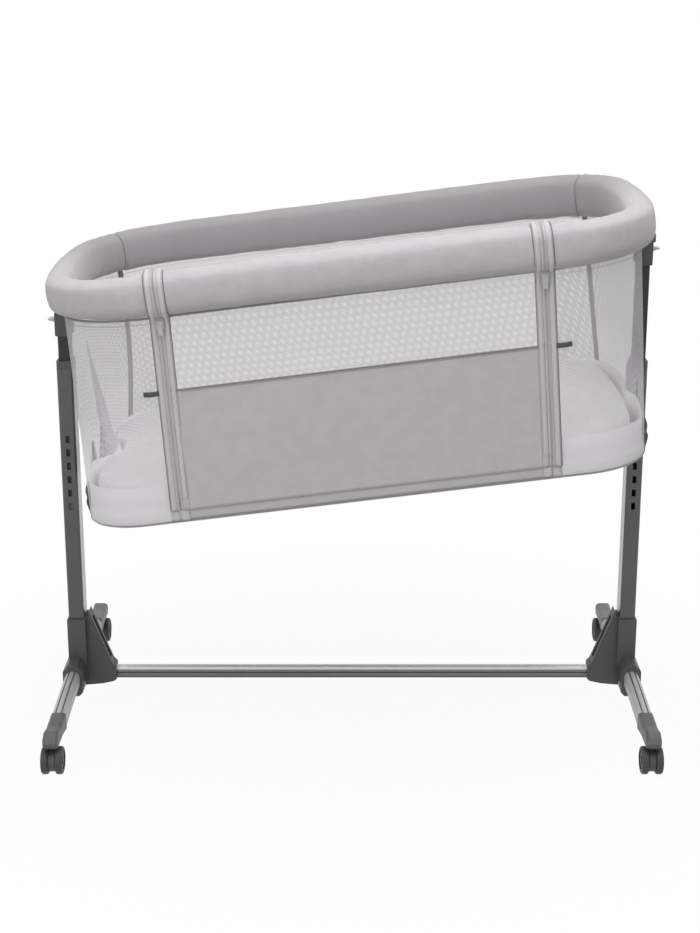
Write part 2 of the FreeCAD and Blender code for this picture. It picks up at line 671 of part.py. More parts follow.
def guide_plug(side):
    """The block inside the foot of the inner leg that guides the catch and its rod."""
    wall = mm("inner_leg_wall")
    half_x = mm("inner_leg_width") / 2 - wall
    half_y = mm("inner_leg_depth") / 2 - wall
    corner = mm("inner_leg_round") - wall
    below, above = mm("inner_leg_below_catch") - 3, 16
    plug = rounded_face(half_x, half_y, corner, "xz")
    plug.rotate(Vector(), Vector(1, 0, 0), 90)
    plug = plug.extrude(Vector(0, 0, below + above))
    plug.translate(Vector(0, 0, -below))
    gap = mm("catch_clearance")
    half_catch = mm("catch_width") / 2 + gap
    channel = block(-half_catch, half_catch, -half_y, half_y - 2,
                    -mm("catch_height") / 2 - gap, mm("catch_height") / 2 + gap)
    rod_side = mm("rod_inset") - mm("rod_diameter") / 2 - mm("slide_clearance")
    rod_room = block(side * rod_side, side * half_x, -4, half_y - 2, -12, above)
    plug = plug.cut(channel.fuse(rod_room))
    place_at = Placement(Vector(side * mm("leg_x"), 0, catch_height[side]), Rotation())
    return solid_piece(f"{SIDE_NAMES[side]}_guide_plug", plug, place_at)


def leg_head(side):
    """The plastic head of the inner leg: two ears for the basket's pivot over the lever's cavity."""
    half_x, half_y = mm("head_width") / 2, mm("head_depth") / 2
    low, ear = -mm("head_below_pivot"), mm("ear_round")
    outline = [(-half_x, low), (half_x, low), (half_x, -ear - 2), (ear, 0), (ear * 0.7, ear * 0.75),
               (-ear * 0.7, ear * 0.75), (-ear, 0), (-half_x, -ear - 2)]
    head = prism_xz(outline, -half_y, half_y)
    head = head.makeFillet(2, [e for e in head.Edges if e.BoundBox.YLength > 1])
    half_slot = mm("tang_thickness") / 2 + mm("tang_clearance")
    pin = mm("pivot_diameter") / 2
    floor = -pin - 5.5
    head = head.cut(block(-half_x - 1, half_x + 1, -half_slot, half_slot, floor, ear + 1))
    bore = rod_along((0, 1, 0), (0, 0, 0), 2 * half_y + 2, pin + mm("running_clearance"))
    if side == RIGHT:
        reach, slack = mm("pivot_slot_travel"), pin + mm("tang_clearance")
        bore = rod_along((0, 1, 0), (0, 0, 0), 2 * half_y + 2, slack)
        bore = bore.fuse([rod_along((0, 1, 0), (reach, 0, 0), 2 * half_y + 2, slack),
                          block(0, reach, -half_y - 1, half_y + 1, -slack, slack)])
        ears = prism_xz([(-ear, -ear - 2), (reach + ear, -ear - 2), (reach + ear, 2),
                         (reach + ear * 0.7, ear * 0.75), (0, ear * 0.75), (-ear, 0)],
                        -half_y, half_y).cut(block(-40, 40, -half_slot, half_slot, floor, ear + 1))
        head = head.fuse(ears)
    head = head.cut(bore)
    lever_z = -mm("lever_below_pivot")
    pin_x = -side * mm("lever_pivot_inset")
    half_lever = mm("lever_width") / 2 + mm("catch_clearance") * 2
    cavity = block(pin_x - side * 4.5, side * (half_x + 1), -half_lever, half_lever,
                   lever_z - 9, floor - 2)
    seat = rounded_face(mm("inner_leg_width") / 2, mm("inner_leg_depth") / 2,
                        mm("inner_leg_round"), "xz")
    seat.rotate(Vector(), Vector(1, 0, 0), 90)
    seat = seat.extrude(Vector(0, 0, mm("head_seat")))
    seat.translate(Vector(0, 0, low))
    rod_hole = Part.makeCylinder(mm("rod_diameter") / 2 + 1, 30,
                                 Vector(side * mm("rod_inset"), rod_y, lever_z - 25))
    lever_pin = rod_along((0, 1, 0), (pin_x, 0, lever_z), 2 * half_y - 2, mm("lever_pin_diameter") / 2)
    head = head.cut(cavity.fuse([seat, rod_hole, lever_pin]))
    members = []
    for name, shape in (("head_body", head), ("lever_pin", lever_pin)):
        members.append(feature(f"{SIDE_NAMES[side]}_{name}", shape, pivot_place(side)))
    return group_piece(f"{SIDE_NAMES[side]}_leg_head", members)


def pivot_place(side):
    return Placement(Vector(side * mm("leg_x"), 0, pivot_z[side]), Rotation())


rod_y = 3.0
lever_arm = mm("lever_pivot_inset") + mm("rod_inset")
catch_travel_in = mm("outer_leg_wall") + mm("catch_clearance")
catch_ratio = catch_travel_in / math.radians(mm("catch_in_turn"))


def release_lever(side):
    """The lever in the leg's head, squeezed up from outside to free the catch."""
    half, reach = mm("lever_thickness") / 2, mm("lever_reach")
    pin_x = -mm("lever_pivot_inset")
    outline = [(pin_x - 3, -half), (12.4, -half), (13, -half - 0.8), (reach - 1, -0.4), (reach, 0.6),
               (reach - 0.6, 1.4), (13, half), (pin_x - 3, half)]
    lever = prism_xz([(side * x, z) for x, z in outline], -mm("lever_width") / 2, mm("lever_width") / 2)
    pin_bore = rod_along((0, 1, 0), (side * pin_x, 0, 0), 40,
                         mm("lever_pin_diameter") / 2 + mm("running_clearance"))
    rod_hole = Part.makeCylinder(mm("rod_diameter") / 2 + 0.9, 20,
                                 Vector(side * mm("rod_inset"), rod_y, -10))
    lever = lever.cut(pin_bore.fuse(rod_hole))
    lever.translate(Vector(0, 0, -mm("lever_below_pivot")))
    return solid_piece(f"{SIDE_NAMES[side]}_release_lever", lever, pivot_place(side))


def release_rod(side):
    """The rod from the lever down to the catch, ending in a plate with a slanted slot."""
    radius = mm("rod_diameter") / 2
    rise = pivot_z[side] - catch_height[side]
    x = side * mm("rod_inset")
    under_head = rise - mm("lever_below_pivot") + mm("lever_thickness") / 2 + 1.1
    rod = Part.makeCylinder(radius, under_head - 9, Vector(x, rod_y, 9))
    head = Part.makeCylinder(radius + 2, 2, Vector(x, rod_y, under_head))
    plate = block(side * 3.6, side * 5.6, -3, 9.5, -8, 10)
    turns = (-math.radians(mm("catch_in_turn")), math.radians(mm("catch_out_turn")))
    half = mm("catch_pin_diameter") / 2 + 0.25
    ends = [Vector(side * 4.6, 1.5 + catch_ratio * turn, -lever_arm * turn) for turn in turns]
    run = ends[1] - ends[0]
    across = Vector(0, -run.z, run.y).normalize() * half
    corners = [ends[0] + across, ends[1] + across, ends[1] - across, ends[0] - across]
    corners = [Vector(side * 2, p.y, p.z) for p in corners]
    slot = Part.Face(Part.makePolygon(corners + corners[:1])).extrude(Vector(side * 6, 0, 0))
    slot = slot.fuse([rod_along((1, 0, 0), tuple(p), 6, half) for p in ends])
    shape = plate.cut(slot).fuse([rod, head])
    place_at = Placement(Vector(side * mm("leg_x"), 0, catch_height[side]), Rotation())
    return solid_piece(f"{SIDE_NAMES[side]}_release_rod", shape, place_at)


def lock_catch(side):
    """The catch, standing just clear of the slot it drops into, with its cross pin."""
    half_x, half_z = mm("catch_width") / 2, mm("catch_height") / 2
    inner_face = -mm("outer_leg_depth") / 2 + mm("outer_leg_wall")
    tip = inner_face + mm("catch_clearance")
    catch = block(-half_x, half_x, tip, 4, -half_z, half_z)
    pin = rod_along((1, 0, 0), (side * (half_x + 1.4), 1.5, 0), 3.4, mm("catch_pin_diameter") / 2)
    place_at = Placement(Vector(side * mm("leg_x"), 0, catch_height[side]), Rotation())
    return solid_piece(f"{SIDE_NAMES[side]}_lock_catch", catch.fuse(pin), place_at)


def pivot_pin(side):
    pin = rod_along((0, 1, 0), (0, 0, 0), mm("head_depth"), mm("pivot_diameter") / 2)
    return solid_piece(f"{SIDE_NAMES[side]}_pivot_pin", pin, pivot_place(side))


# ---------------------------------------------------------------- basket: rim


def oval_points(half_length, half_width, corner, end_round):
    """The turning points of one quarter: side line end, corner arc middle, join, end middle."""
    end_x = half_length - end_round
    side_x = end_x + math.sqrt((end_round - corner) ** 2 - (half_width - corner) ** 2)
    lean = math.atan2(half_width - corner, side_x - end_x)
    middle = (math.pi / 2 + lean) / 2
    return {
        "side": (side_x, half_width),
        "corner": (side_x + corner * math.cos(middle),
                   half_width - corner + corner * math.sin(middle)),
        "join": (end_x + end_round * math.cos(lean), end_round * math.sin(lean)),
        "end": (half_length, 0.0),
    }


def oval(half_length, half_width, corner, end_round, inset=0.0, x=0.0, z=0.0):
    """A closed outline: straight sides, round corners and slightly bowed ends."""
    spots = oval_points(half_length - inset, half_width - inset, corner - inset, end_round - inset)

    def at(name, sx, sy):
        u, v = spots[name]
        return Vector(x + sx * u, sy * v, z)

    edges = []
    for sx, sy in ((1, -1), (1, 1), (-1, 1), (-1, -1)):
        if sx * sy < 0:
            edges.append(Part.Arc(at("side", sx, sy), at("corner", sx, sy), at("join", sx, sy)))
            edges.append(Part.Arc(at("join", sx, sy), at("end", sx, 0), at("join", sx, -sy)))
        else:
            edges.append(Part.Arc(at("join", sx, sy), at("corner", sx, sy), at("side", sx, sy)))
            edges.append(Part.LineSegment(at("side", sx, sy), at("side", -sx, sy)))
    return Part.Wire([edge.toShape() for edge in edges])


def rim_path():
    return oval(mm("rim_half_length"), mm("rim_half_width"), mm("rim_corner"), mm("rim_end_round"))


def swept_ring(section, path, start):
    """A section in the YZ plane, moved to the path's start and swept once round it."""
    section.translate(start)
    return path.makePipeShell([section.OuterWire], True, True)


def front_part(half_gap):
    """The space of the drop side, between the two zips, from above the rim to the floor."""
    top, low, sway = mm("zip_x") + half_gap, -mm("wall_depth") - 1, mm("floor_sway")
    under = -mm("padding_height") / 2
    outline = [(-top, 60), (top, 60), (top, under), (top - sway, low), (-top - sway, low), (-top, under)]
    return prism_xz(outline, -mm("rim_half_width") - 80, -mm("rim_half_width") + 60)


def rim_pieces():
    """The frame tube, its padded covers and the drop side's own length of padded rail."""
    path = rim_path()
    side_x, half_width = path_start()
    start = Vector(side_x, -half_width, 0)
    tube_radius = mm("frame_tube_diameter") / 2
    tube_face = Part.Face(Part.Wire(Part.Circle(Vector(), Vector(1, 0, 0), tube_radius).toShape()))
    bore_face = Part.Face(Part.Wire(Part.Circle(
        Vector(), Vector(1, 0, 0), tube_radius - mm("frame_tube_wall")).toShape()))
    padding_face = rounded_face(mm("padding_width") / 2, mm("padding_height") / 2,
                                mm("padding_round"), "yz")
    rod = swept_ring(tube_face, path, start)
    bore = swept_ring(bore_face, path, start)
    tube = rod.cut(bore)
    padding = swept_ring(padding_face, path, start).cut(rod)
    for side in (LEFT, RIGHT):
        padding = padding.cut(bracket_shape(side, mm("tang_clearance")))
    gap = mm("zip_gap") / 2
    drop_space, fixed_space = front_part(-gap), front_part(gap)
    flange = 3
    tube_fixed = tube.cut(front_part(gap + flange))
    tube_drop = tube.common(drop_space)
    back = block(-mm("seam_x"), mm("seam_x"), 0, 400, -100, 100)
    solid_piece("rim_frame_tube", tube_fixed, basket_place)
    solid_piece("back_rim_padding", padding.common(back), basket_place)
    rest = padding.cut(back).cut(fixed_space)
    for side in (LEFT, RIGHT):
        half = block(0, side * 600, -400, 400, -100, 100)
        solid_piece(f"{SIDE_NAMES[side]}_rim_padding", rest.common(half), basket_place)
    solid_piece("front_rail_tube", tube_drop, basket_place)
    solid_piece("front_rail_padding", padding.common(drop_space), basket_place)
    flanges = rod.common(front_part(gap + flange)).cut(fixed_space)
    sockets = []
    for side in (LEFT, RIGHT):
        half = block(0, side * 600, -400, 400, -100, 100)
        sockets.append(feature("socket", flanges.common(half), basket_place))
    group_piece("rail_sockets", sockets)


def path_start():
    spots = oval_points(mm("rim_half_length"), mm("rim_half_width"), mm("rim_corner"),
                        mm("rim_end_round"))
    return spots["side"]


def bracket_shape(side, grow=0.0):
    """The steel bracket that hangs from the rim's frame tube down to the leg's pivot."""
    tube_x, eye_x, eye_z = side * mm("rim_half_length"), side * pivot_reach, -mm("pivot_drop")
    clamp_radius = mm("frame_tube_diameter") / 2 + 3 + grow
    eye_radius = mm("ear_round") - 0.5 + grow
    half_tang = mm("tang_thickness") / 2 + grow
    clamp = rod_along((0, 1, 0), (tube_x, 0, 0), mm("bracket_length") + 2 * grow, clamp_radius)
    eye = rod_along((0, 1, 0), (eye_x, 0, eye_z), 2 * half_tang, eye_radius)
    web = prism_xz([(tube_x - clamp_radius * 0.75, 0), (tube_x + clamp_radius * 0.75, 0),
                    (eye_x + eye_radius, eye_z), (eye_x - eye_radius, eye_z)], -half_tang, half_tang)
    return clamp.fuse([eye, web])


def rim_brackets(side):
    shape = bracket_shape(side)
    tube = rod_along((0, 1, 0), (side * mm("rim_half_length"), 0, 0), 80,
                     mm("frame_tube_diameter") / 2 + 0.2)
    pin_radius = mm("pivot_diameter") / 2 + (mm("running_clearance") if side == LEFT else 0.0)
    eye = rod_along((0, 1, 0), (side * pivot_reach, 0, -mm("pivot_drop")), 80, pin_radius)
    return solid_piece(f"{SIDE_NAMES[side]}_rim_bracket", shape.cut(tube).cut(eye), basket_place)


# ---------------------------------------------------------------- basket: walls, floor, mattress


def wall_outlines(inset):
    """The wall's top outline, under the padding, and its bottom outline, swayed downhill."""
    top = oval(mm("wall_top_half_length"), mm("wall_top_half_width"), mm("wall_top_corner"),
               mm("rim_end_round"), inset, 0, -mm("padding_height") / 2)
    low = oval(mm("floor_half_length"), mm("floor_half_width"), mm("floor_corner"),
               mm("floor_end_round"), inset, -mm("floor_sway"), -mm("wall_depth"))
    return top, low


def leg_recesses(grow):
    """The room at each end that the legs need as the basket tilts either way between them."""
    half_width = mm("leg_recess_width") / 2 + grow
    leg_face = pivot_reach - mm("outer_leg_width") / 2 - mm("leg_gap") - grow
    level_face = leg_face - 2 * (pivot_reach - mm("leg_x"))
    pivot_level, bottom = -mm("pivot_drop"), -mm("wall_depth") - 60
    lean = math.tan(tilt)
    knee = pivot_level - (leg_face - level_face) / lean
    bottom_face = leg_face - (pivot_level - bottom) * lean
    recesses = []
    for side in (LEFT, RIGHT):
        outline = [(side * level_face, 0), (side * 700, 0), (side * 700, bottom),
                   (side * bottom_face, bottom), (side * level_face, knee)]
        recesses.append(prism_xz(outline, -half_width, half_width))
    return recesses[0].fuse(recesses[1])


def wall_shell():
    thickness = mm("wall_thickness")
    outer = Part.makeLoft(list(wall_outlines(0.0)), True, True).cut(leg_recesses(0.0))
    inner = Part.makeLoft(list(wall_outlines(thickness)), True, True).cut(leg_recesses(thickness))
    return outer.cut(inner)


def basket_walls():
    """Mesh walls in three lengths, and the drop side's mesh window over its fabric panel."""
    shell = wall_shell()
    gap = mm("zip_gap") / 2
    front = shell.common(front_part(-gap))
    rest = shell.cut(front_part(gap))
    back = block(-mm("seam_x"), mm("seam_x"), 0, 400, -500, 0)
    solid_piece("back_mesh_wall", rest.common(back), basket_place)
    ends = rest.cut(back)
    for side in (LEFT, RIGHT):
        half = block(0, side * 600, -400, 400, -500, 0)
        solid_piece(f"{SIDE_NAMES[side]}_mesh_wall", ends.common(half), basket_place)
    split = -mm("panel_top_depth")
    window = front.common(block(-600, 600, -400, 0, split, 0))
    panel = front.common(block(-600, 600, -400, 0, -mm("wall_depth") + mm("panel_gap"), split))
    solid_piece("front_mesh_window", window, basket_place)
    solid_piece("front_fabric_panel", panel, basket_place)


def floor_pieces():
    """The fabric tray under the basket, its frame tube and board, and the mattress."""
    sway, depth = -mm("floor_sway"), -mm("wall_depth")

    def tray(inset, lift):
        wires = [oval(mm("floor_half_length"), mm("floor_half_width"), mm("floor_corner"),
                      mm("floor_end_round"), inset + extra, sway, z)
                 for extra, z in ((0.0, depth), (mm("cover_inset"), depth - mm("cover_depth") + lift))]
        return Part.makeLoft(wires, True, True).cut(leg_recesses(inset))

    thickness = mm("wall_thickness")
    solid_piece("floor_cover", tray(0.0, 0.0).cut(tray(thickness, thickness)), basket_place)

    def flat_oval(half_length, half_width, inset, z):
        return oval(half_length, half_width, mm("floor_corner"), mm("floor_end_round"), inset,
                    -mm("board_sway"), z)

    radius = mm("floor_tube_diameter") / 2
    half_length = mm("floor_half_length") - mm("board_end_inset")
    half_width = mm("floor_half_width") - mm("board_side_inset")
    board_low = depth - 2
    tube_inset = radius + 1
    tube_z = board_low - radius
    path = flat_oval(half_length, half_width, tube_inset, tube_z)
    spots = oval_points(half_length - tube_inset, half_width - tube_inset,
                        mm("floor_corner") - tube_inset, mm("floor_end_round") - tube_inset)
    start = Vector(spots["side"][0] - mm("board_sway"), -spots["side"][1], tube_z)
    faces = [Part.Face(Part.Wire(Part.Circle(Vector(), Vector(1, 0, 0), reach).toShape()))
             for reach in (radius, radius - mm("floor_tube_wall"))]
    outside, bore = (swept_ring(face, path, start) for face in faces)
    solid_piece("floor_frame_tube", outside.cut(bore), basket_place)
    board = Part.Face(flat_oval(half_length, half_width, 0.0, board_low))
    board_top = board_low + mm("board_thickness")
    solid_piece("floor_board", board.extrude(Vector(0, 0, mm("board_thickness"))), basket_place)
    thick, crown = mm("mattress_thickness"), mm("mattress_crown")
    levels = [(7, 0.0), (1.5, 0.14 * thick), (0.0, 0.4 * thick), (1.0, 0.74 * thick), (6.0, 0.95 * thick)]
    levels += [(20, thick + 0.1 * crown), (48, thick + 0.6 * crown), (85, thick + crown)]
    wires = [oval(mm("floor_half_length") - mm("mattress_end_inset"),
                  mm("floor_half_width") - mm("wall_thickness") - mm("mattress_side_inset"),
                  mm("floor_corner"), mm("floor_end_round"), inset, sway, board_top + lift)
             for inset, lift in levels]
    room = leg_recesses(mm("wall_thickness") + mm("mattress_leg_gap"))
    mattress = Part.makeLoft(wires, True, True).cut(room)
    solid_piece("mattress", mattress, basket_place)


# ---------------------------------------------------------------- zips, loops

wall_fall = mm("wall_depth") - mm("padding_height") / 2
wall_run = Vector(-mm("floor_sway"), mm("wall_top_half_width") - mm("floor_half_width"), -wall_fall)


def zip_tape(x0, x1):
    """One half of a zip: over the rim, down its outer face and on down the wall."""
    half_height, half_padding = mm("padding_height") / 2, mm("padding_width") / 2
    thickness = mm("tape_thickness")
    skin = rounded_face(half_padding + thickness, half_height + thickness,
                        mm("padding_round") + thickness, "yz")
    core = rounded_face(half_padding, half_height, mm("padding_round"), "yz")
    skin = skin.cut(core).extrude(Vector(x1 - x0, 0, 0))
    skin.translate(Vector(x0, -mm("rim_half_width"), 0))
    top_y = -mm("wall_top_half_width")
    skin = skin.cut(block(x0 - 1, x1 + 1, -mm("rim_half_width") + 12, 0, -100, 100))
    skin = skin.cut(block(x0 - 1, x1 + 1, top_y, 0, -100, 0))
    corners = [Vector(x0, top_y, -half_height), Vector(x1, top_y, -half_height),
               Vector(x1, top_y - thickness, -half_height), Vector(x0, top_y - thickness, -half_height)]
    base = Part.Face(Part.makePolygon(corners + corners[:1]))
    shrink = (wall_fall - 1) / wall_fall
    return skin.fuse(base.extrude(wall_run * shrink))


def zip_tapes():
    gap, width, middle = mm("zip_gap") / 2, mm("tape_width"), mm("zip_x")
    spans = {"basket_zip_tapes": (middle + gap, middle + gap + width),
             "drop_side_zip_tapes": (middle - gap - width, middle - gap)}
    for label, (near, far) in spans.items():
        members = []
        for side in (LEFT, RIGHT):
            tape = zip_tape(min(side * near, side * far), max(side * near, side * far))
            members.append(feature(f"{label}_{SIDE_NAMES[side]}", tape, basket_place))
        group_piece(label, members)


def along_wall(x, drop, outward):
    """A place on the front wall's outer face: across at its top, down it and out from it."""
    share = drop / wall_fall
    top = Vector(x, -mm("wall_top_half_width"), -mm("padding_height") / 2)
    return top + wall_run * share + Vector(0, -outward, 0)


def zip_slider(side):
    """A zip's slider, just under the rim, and the pull that hangs on it."""
    length, width, thickness = mm("slider_length"), mm("slider_width"), mm("slider_thickness")
    down = Vector(wall_run).normalize()
    turn = Rotation(Vector(0, 0, -1), down)
    seat = along_wall(side * mm("zip_x"), 1.0, mm("tape_thickness") + mm("slide_clearance"))
    back, front = 0.0, -thickness
    plate = block(-width / 2, width / 2, back, front, -length, 0)
    plate = plate.makeFillet(1, [e for e in plate.Edges if e.BoundBox.YLength > 1])
    pin_y, pin_z = front - 1.3, -3.5
    ears = [block(sx * (mm("pull_width") / 2 + 0.3), sx * (mm("pull_width") / 2 + 1.8), front, front - 2.4,
                  pin_z - 2, pin_z + 2) for sx in (-1, 1)]
    pin = rod_along((1, 0, 0), (0, pin_y, pin_z), mm("pull_width") + 3, 0.7)
    slider = plate.fuse(ears + [pin])
    place_at = basket_place.multiply(Placement(seat, turn))
    solid_piece(f"{SIDE_NAMES[side]}_zip_slider", slider, place_at)
    eye = rod_along((1, 0, 0), (0, pin_y, pin_z), mm("pull_width"), 1.25)
    half = mm("pull_thickness") / 2
    tab = block(-mm("pull_width") / 2, mm("pull_width") / 2, pin_y - half, pin_y + half,
                pin_z - mm("pull_length"), pin_z)
    pull = eye.fuse(tab).cut(rod_along((1, 0, 0), (0, pin_y, pin_z), 20, 0.7 + mm("running_clearance")))
    solid_piece(f"{SIDE_NAMES[side]}_zip_pull", pull, place_at)
    return place_at.multVec(Vector(0, pin_y, pin_z)), place_at.Rotation.multVec(Vector(1, 0, 0))


def strap_loops():
    """The webbing loops beside the zips that a strap to the parents' bed goes through."""
    members = []
    for side in (LEFT, RIGHT):
        drop = mm("loop_depth") - mm("padding_height") / 2
        centre = along_wall(side * (mm("zip_x") + mm("loop_from_zip")), drop, mm("tape_thickness") + 0.1)
        half, width = mm("loop_length") / 2, mm("loop_width") / 2
        loop = block(centre.x - half, centre.x + half, centre.y, centre.y - mm("loop_thickness"),
                     centre.z - width, centre.z + width)
        loop = loop.makeFillet(0.8, [e for e in loop.Edges if e.BoundBox.YLength > 1])
        members.append(feature("loop", loop, basket_place))
    return group_piece("strap_loops", members)


# ---------------------------------------------------------------- build, check and write

for side in (LEFT, RIGHT):
    foot_tube(side)
    hub(side)
    for end in (FRONT, REAR):
        end_cap(side, end)
        caster(side, end)
    outer_leg(side)
    inner_leg(side)
    guide_plug(side)
    leg_head(side)
    release_lever(side)
    release_rod(side)
    lock_catch(side)
    pivot_pin(side)
    rim_brackets(side)
cross_bar()
hub_screws()
leg_collars()
rim_pieces()
basket_walls()
floor_pieces()
zip_tapes()
pull_axes = {side: zip_slider(side) for side in (LEFT, RIGHT)}
strap_loops()
doc.recompute()

for item in doc.Objects:
    assert not {"Invalid", "Error"} & set(item.State), f"{item.Label} failed: {item.State}"
labels = [item.Label for item in nodes]
assert len(labels) == len(set(labels)) and len(labels) <= 60, f"{len(labels)} pieces"
for item in nodes:
    assert not item.Shape.isNull() and item.Shape.isValid(), f"{item.Label} has no sound shape"

os.makedirs("parts", exist_ok=True)
for item in nodes:
    item.Shape.exportStep(f"parts/{item.Label}.step")

print(f"{len(nodes)} pieces, tilt {math.degrees(tilt):.3f} degrees")
print("rim centre", [round(v, 3) for v in rim_centre], "pivot reach", round(pivot_reach, 3))
print("lever arm", lever_arm, "catch ratio mm/rad", round(catch_ratio, 4))
hinge = basket_place.multVec(Vector(0, -mm("floor_half_width") - 0.8, -mm("wall_depth") - 0.3))
print("drop side hinge", [round(v, 3) for v in hinge])
print("zip direction", [round(v, 5) for v in basket_place.Rotation.multVec(Vector(wall_run).normalize())])
for side, (point, axis) in pull_axes.items():
    print(SIDE_NAMES[side], "pull axis", [round(v, 3) for v in point], [round(v, 5) for v in axis])
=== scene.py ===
"""Looks of a bedside sleeper crib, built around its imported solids. Lengths are in metres."""

import math

import bmesh
import bpy
import numpy as np
from mathutils import Matrix, Vector, noise


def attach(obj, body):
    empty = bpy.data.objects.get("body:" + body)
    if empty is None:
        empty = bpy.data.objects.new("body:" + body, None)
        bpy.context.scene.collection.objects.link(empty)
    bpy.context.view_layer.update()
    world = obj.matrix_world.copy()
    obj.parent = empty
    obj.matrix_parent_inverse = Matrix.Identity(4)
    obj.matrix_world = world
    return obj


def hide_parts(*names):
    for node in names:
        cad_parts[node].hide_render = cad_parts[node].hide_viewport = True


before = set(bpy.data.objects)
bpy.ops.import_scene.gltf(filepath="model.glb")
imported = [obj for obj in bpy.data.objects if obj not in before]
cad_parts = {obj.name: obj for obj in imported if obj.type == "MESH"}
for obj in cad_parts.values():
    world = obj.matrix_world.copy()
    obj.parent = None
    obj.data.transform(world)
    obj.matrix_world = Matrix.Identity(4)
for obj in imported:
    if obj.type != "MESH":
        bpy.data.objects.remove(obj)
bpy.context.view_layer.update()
LEFT, RIGHT, FRONT, REAR = -1, 1, -1, 1

# The right leg stands higher than the left, and the rim lies above the pivots between them.
LEG_REACH, RIGHT_RISE, PIVOT_HEIGHT, PIVOT_DROP = 0.445, 0.110, 0.717, 0.042
TILT = math.atan2(RIGHT_RISE, 2 * LEG_REACH)
PIVOT_REACH = math.hypot(LEG_REACH, RIGHT_RISE / 2)
# The basket's own frame: its origin is the middle of the rim, and it is level before it is tilted.
BASKET = (Matrix.Translation((0, 0, PIVOT_HEIGHT)) @ Matrix.Rotation(-TILT, 4, "Y")
          @ Matrix.Translation((0, 0, PIVOT_DROP)))
BASKET_TURN, BASKET_PLACE = np.array(BASKET.to_3x3()), np.array(BASKET.translation)

# A depth is measured down from the rim, and the x of a zip or seam from its middle.
RIM = dict(half_length=0.4355, half_width=0.243, corner=0.145, end_round=0.900)
WALL_TOP = dict(half_length=0.434, half_width=0.250, corner=0.143, end_round=0.900)
WALL_FOOT = dict(half_length=0.424, half_width=0.245, corner=0.095, end_round=1.600)
PADDING_WIDTH, PADDING_HEIGHT, PADDING_ROUND, PADDING_END = 0.048, 0.064, 0.022, 0.007
WALL_TOP_DEPTH, WALL_FOOT_DEPTH, FLOOR_SWAY = 0.032, 0.318, 0.014
ZIP_X, SEAM_X, PANEL_TOP_DEPTH = 0.270, 0.385, 0.138
MESH_PITCH = 0.0024
SKIRT_DEPTH, TRAY_DEPTH, TRAY_UNDERSIDE = 0.3325, 0.3355, 0.3345
SLIDER_PATH = 0.3165, 0.3185
ZIP_GAP, TAPE_REACH, ZIP_FLAT_DEPTH = 0.00075, 0.0135, 0.296
MATTRESS = dict(half_length=0.412, half_width=0.2375, corner=0.095, end_round=1.600)
MATTRESS_TOP, MATTRESS_FOOT, MATTRESS_CROWN = 0.275, 0.315, 0.007
MATTRESS_GAP = 0.0085
LEG_HALF_DEPTH, LEG_HALF_WIDTH, LEG_GAP, RECESS_EASE = 0.0245, 0.0125, 0.0013, 0.034
SMOOTHING_STEP = 0.002
FOOT_COLUMNS, FOOT_ROUND = 360, 2.4
STUDIO_REACH = 30.0


# ---- finishes


class Wire:
    """A socket of a node tree. Arithmetic between wires, or with numbers, adds the Math nodes for it."""

    def __init__(self, tree, socket):
        self.tree, self.socket = tree, socket

    def math(self, operation, *others):
        return self.tree.node("ShaderNodeMath", {"operation": operation}, [self, *others])

    def reflected(self, operation, other):
        return self.tree.node("ShaderNodeMath", {"operation": operation}, [other, self])

    def __add__(self, other):
        return self.math("ADD", other)

    def __sub__(self, other):
        return self.math("SUBTRACT", other)

    def __rsub__(self, other):
        return self.reflected("SUBTRACT", other)

    def __mul__(self, other):
        return self.math("MULTIPLY", other)

    def __truediv__(self, other):
        return self.math("DIVIDE", other)

    __radd__, __rmul__ = __add__, __mul__


class Tree:
    """A shader's node tree in the making."""

    def __init__(self, nodes_of):
        nodes_of.use_nodes = True
        self.nodes, self.links = nodes_of.node_tree.nodes, nodes_of.node_tree.links
        self.nodes.clear()

    def node(self, kind, settings=None, inputs=(), out=0):
        """Adds a node: first its settings, then its sockets' values or links."""
        made = self.nodes.new(kind)
        for key, value in (settings or {}).items():
            setattr(made, key, value)
        pairs = inputs.items() if isinstance(inputs, dict) else enumerate(inputs)
        for key, value in pairs:
            if isinstance(value, Wire):
                self.links.new(value.socket, made.inputs[key])
            else:
                made.inputs[key].default_value = value
        return Wire(self, made.outputs[out]) if len(made.outputs) else None

    def seen_directly(self):
        """1 for rays that look at a thing, by themselves or in a mirror or glass, and 0 for its light."""
        camera, glossy, through = (self.node("ShaderNodeLightPath", out=f"Is {kind} Ray")
                                   for kind in ("Camera", "Glossy", "Transmission"))
        return camera.math("MAXIMUM", glossy).math("MAXIMUM", through)

    def mixed(self, share, first, second):
        """Two shaders, mixed by a share of the second."""
        return self.node("ShaderNodeMixShader", {}, [share, first, second])

    def shown(self, surface, kind="Material"):
        self.node(f"ShaderNodeOutput{kind}", {}, {"Surface": surface})


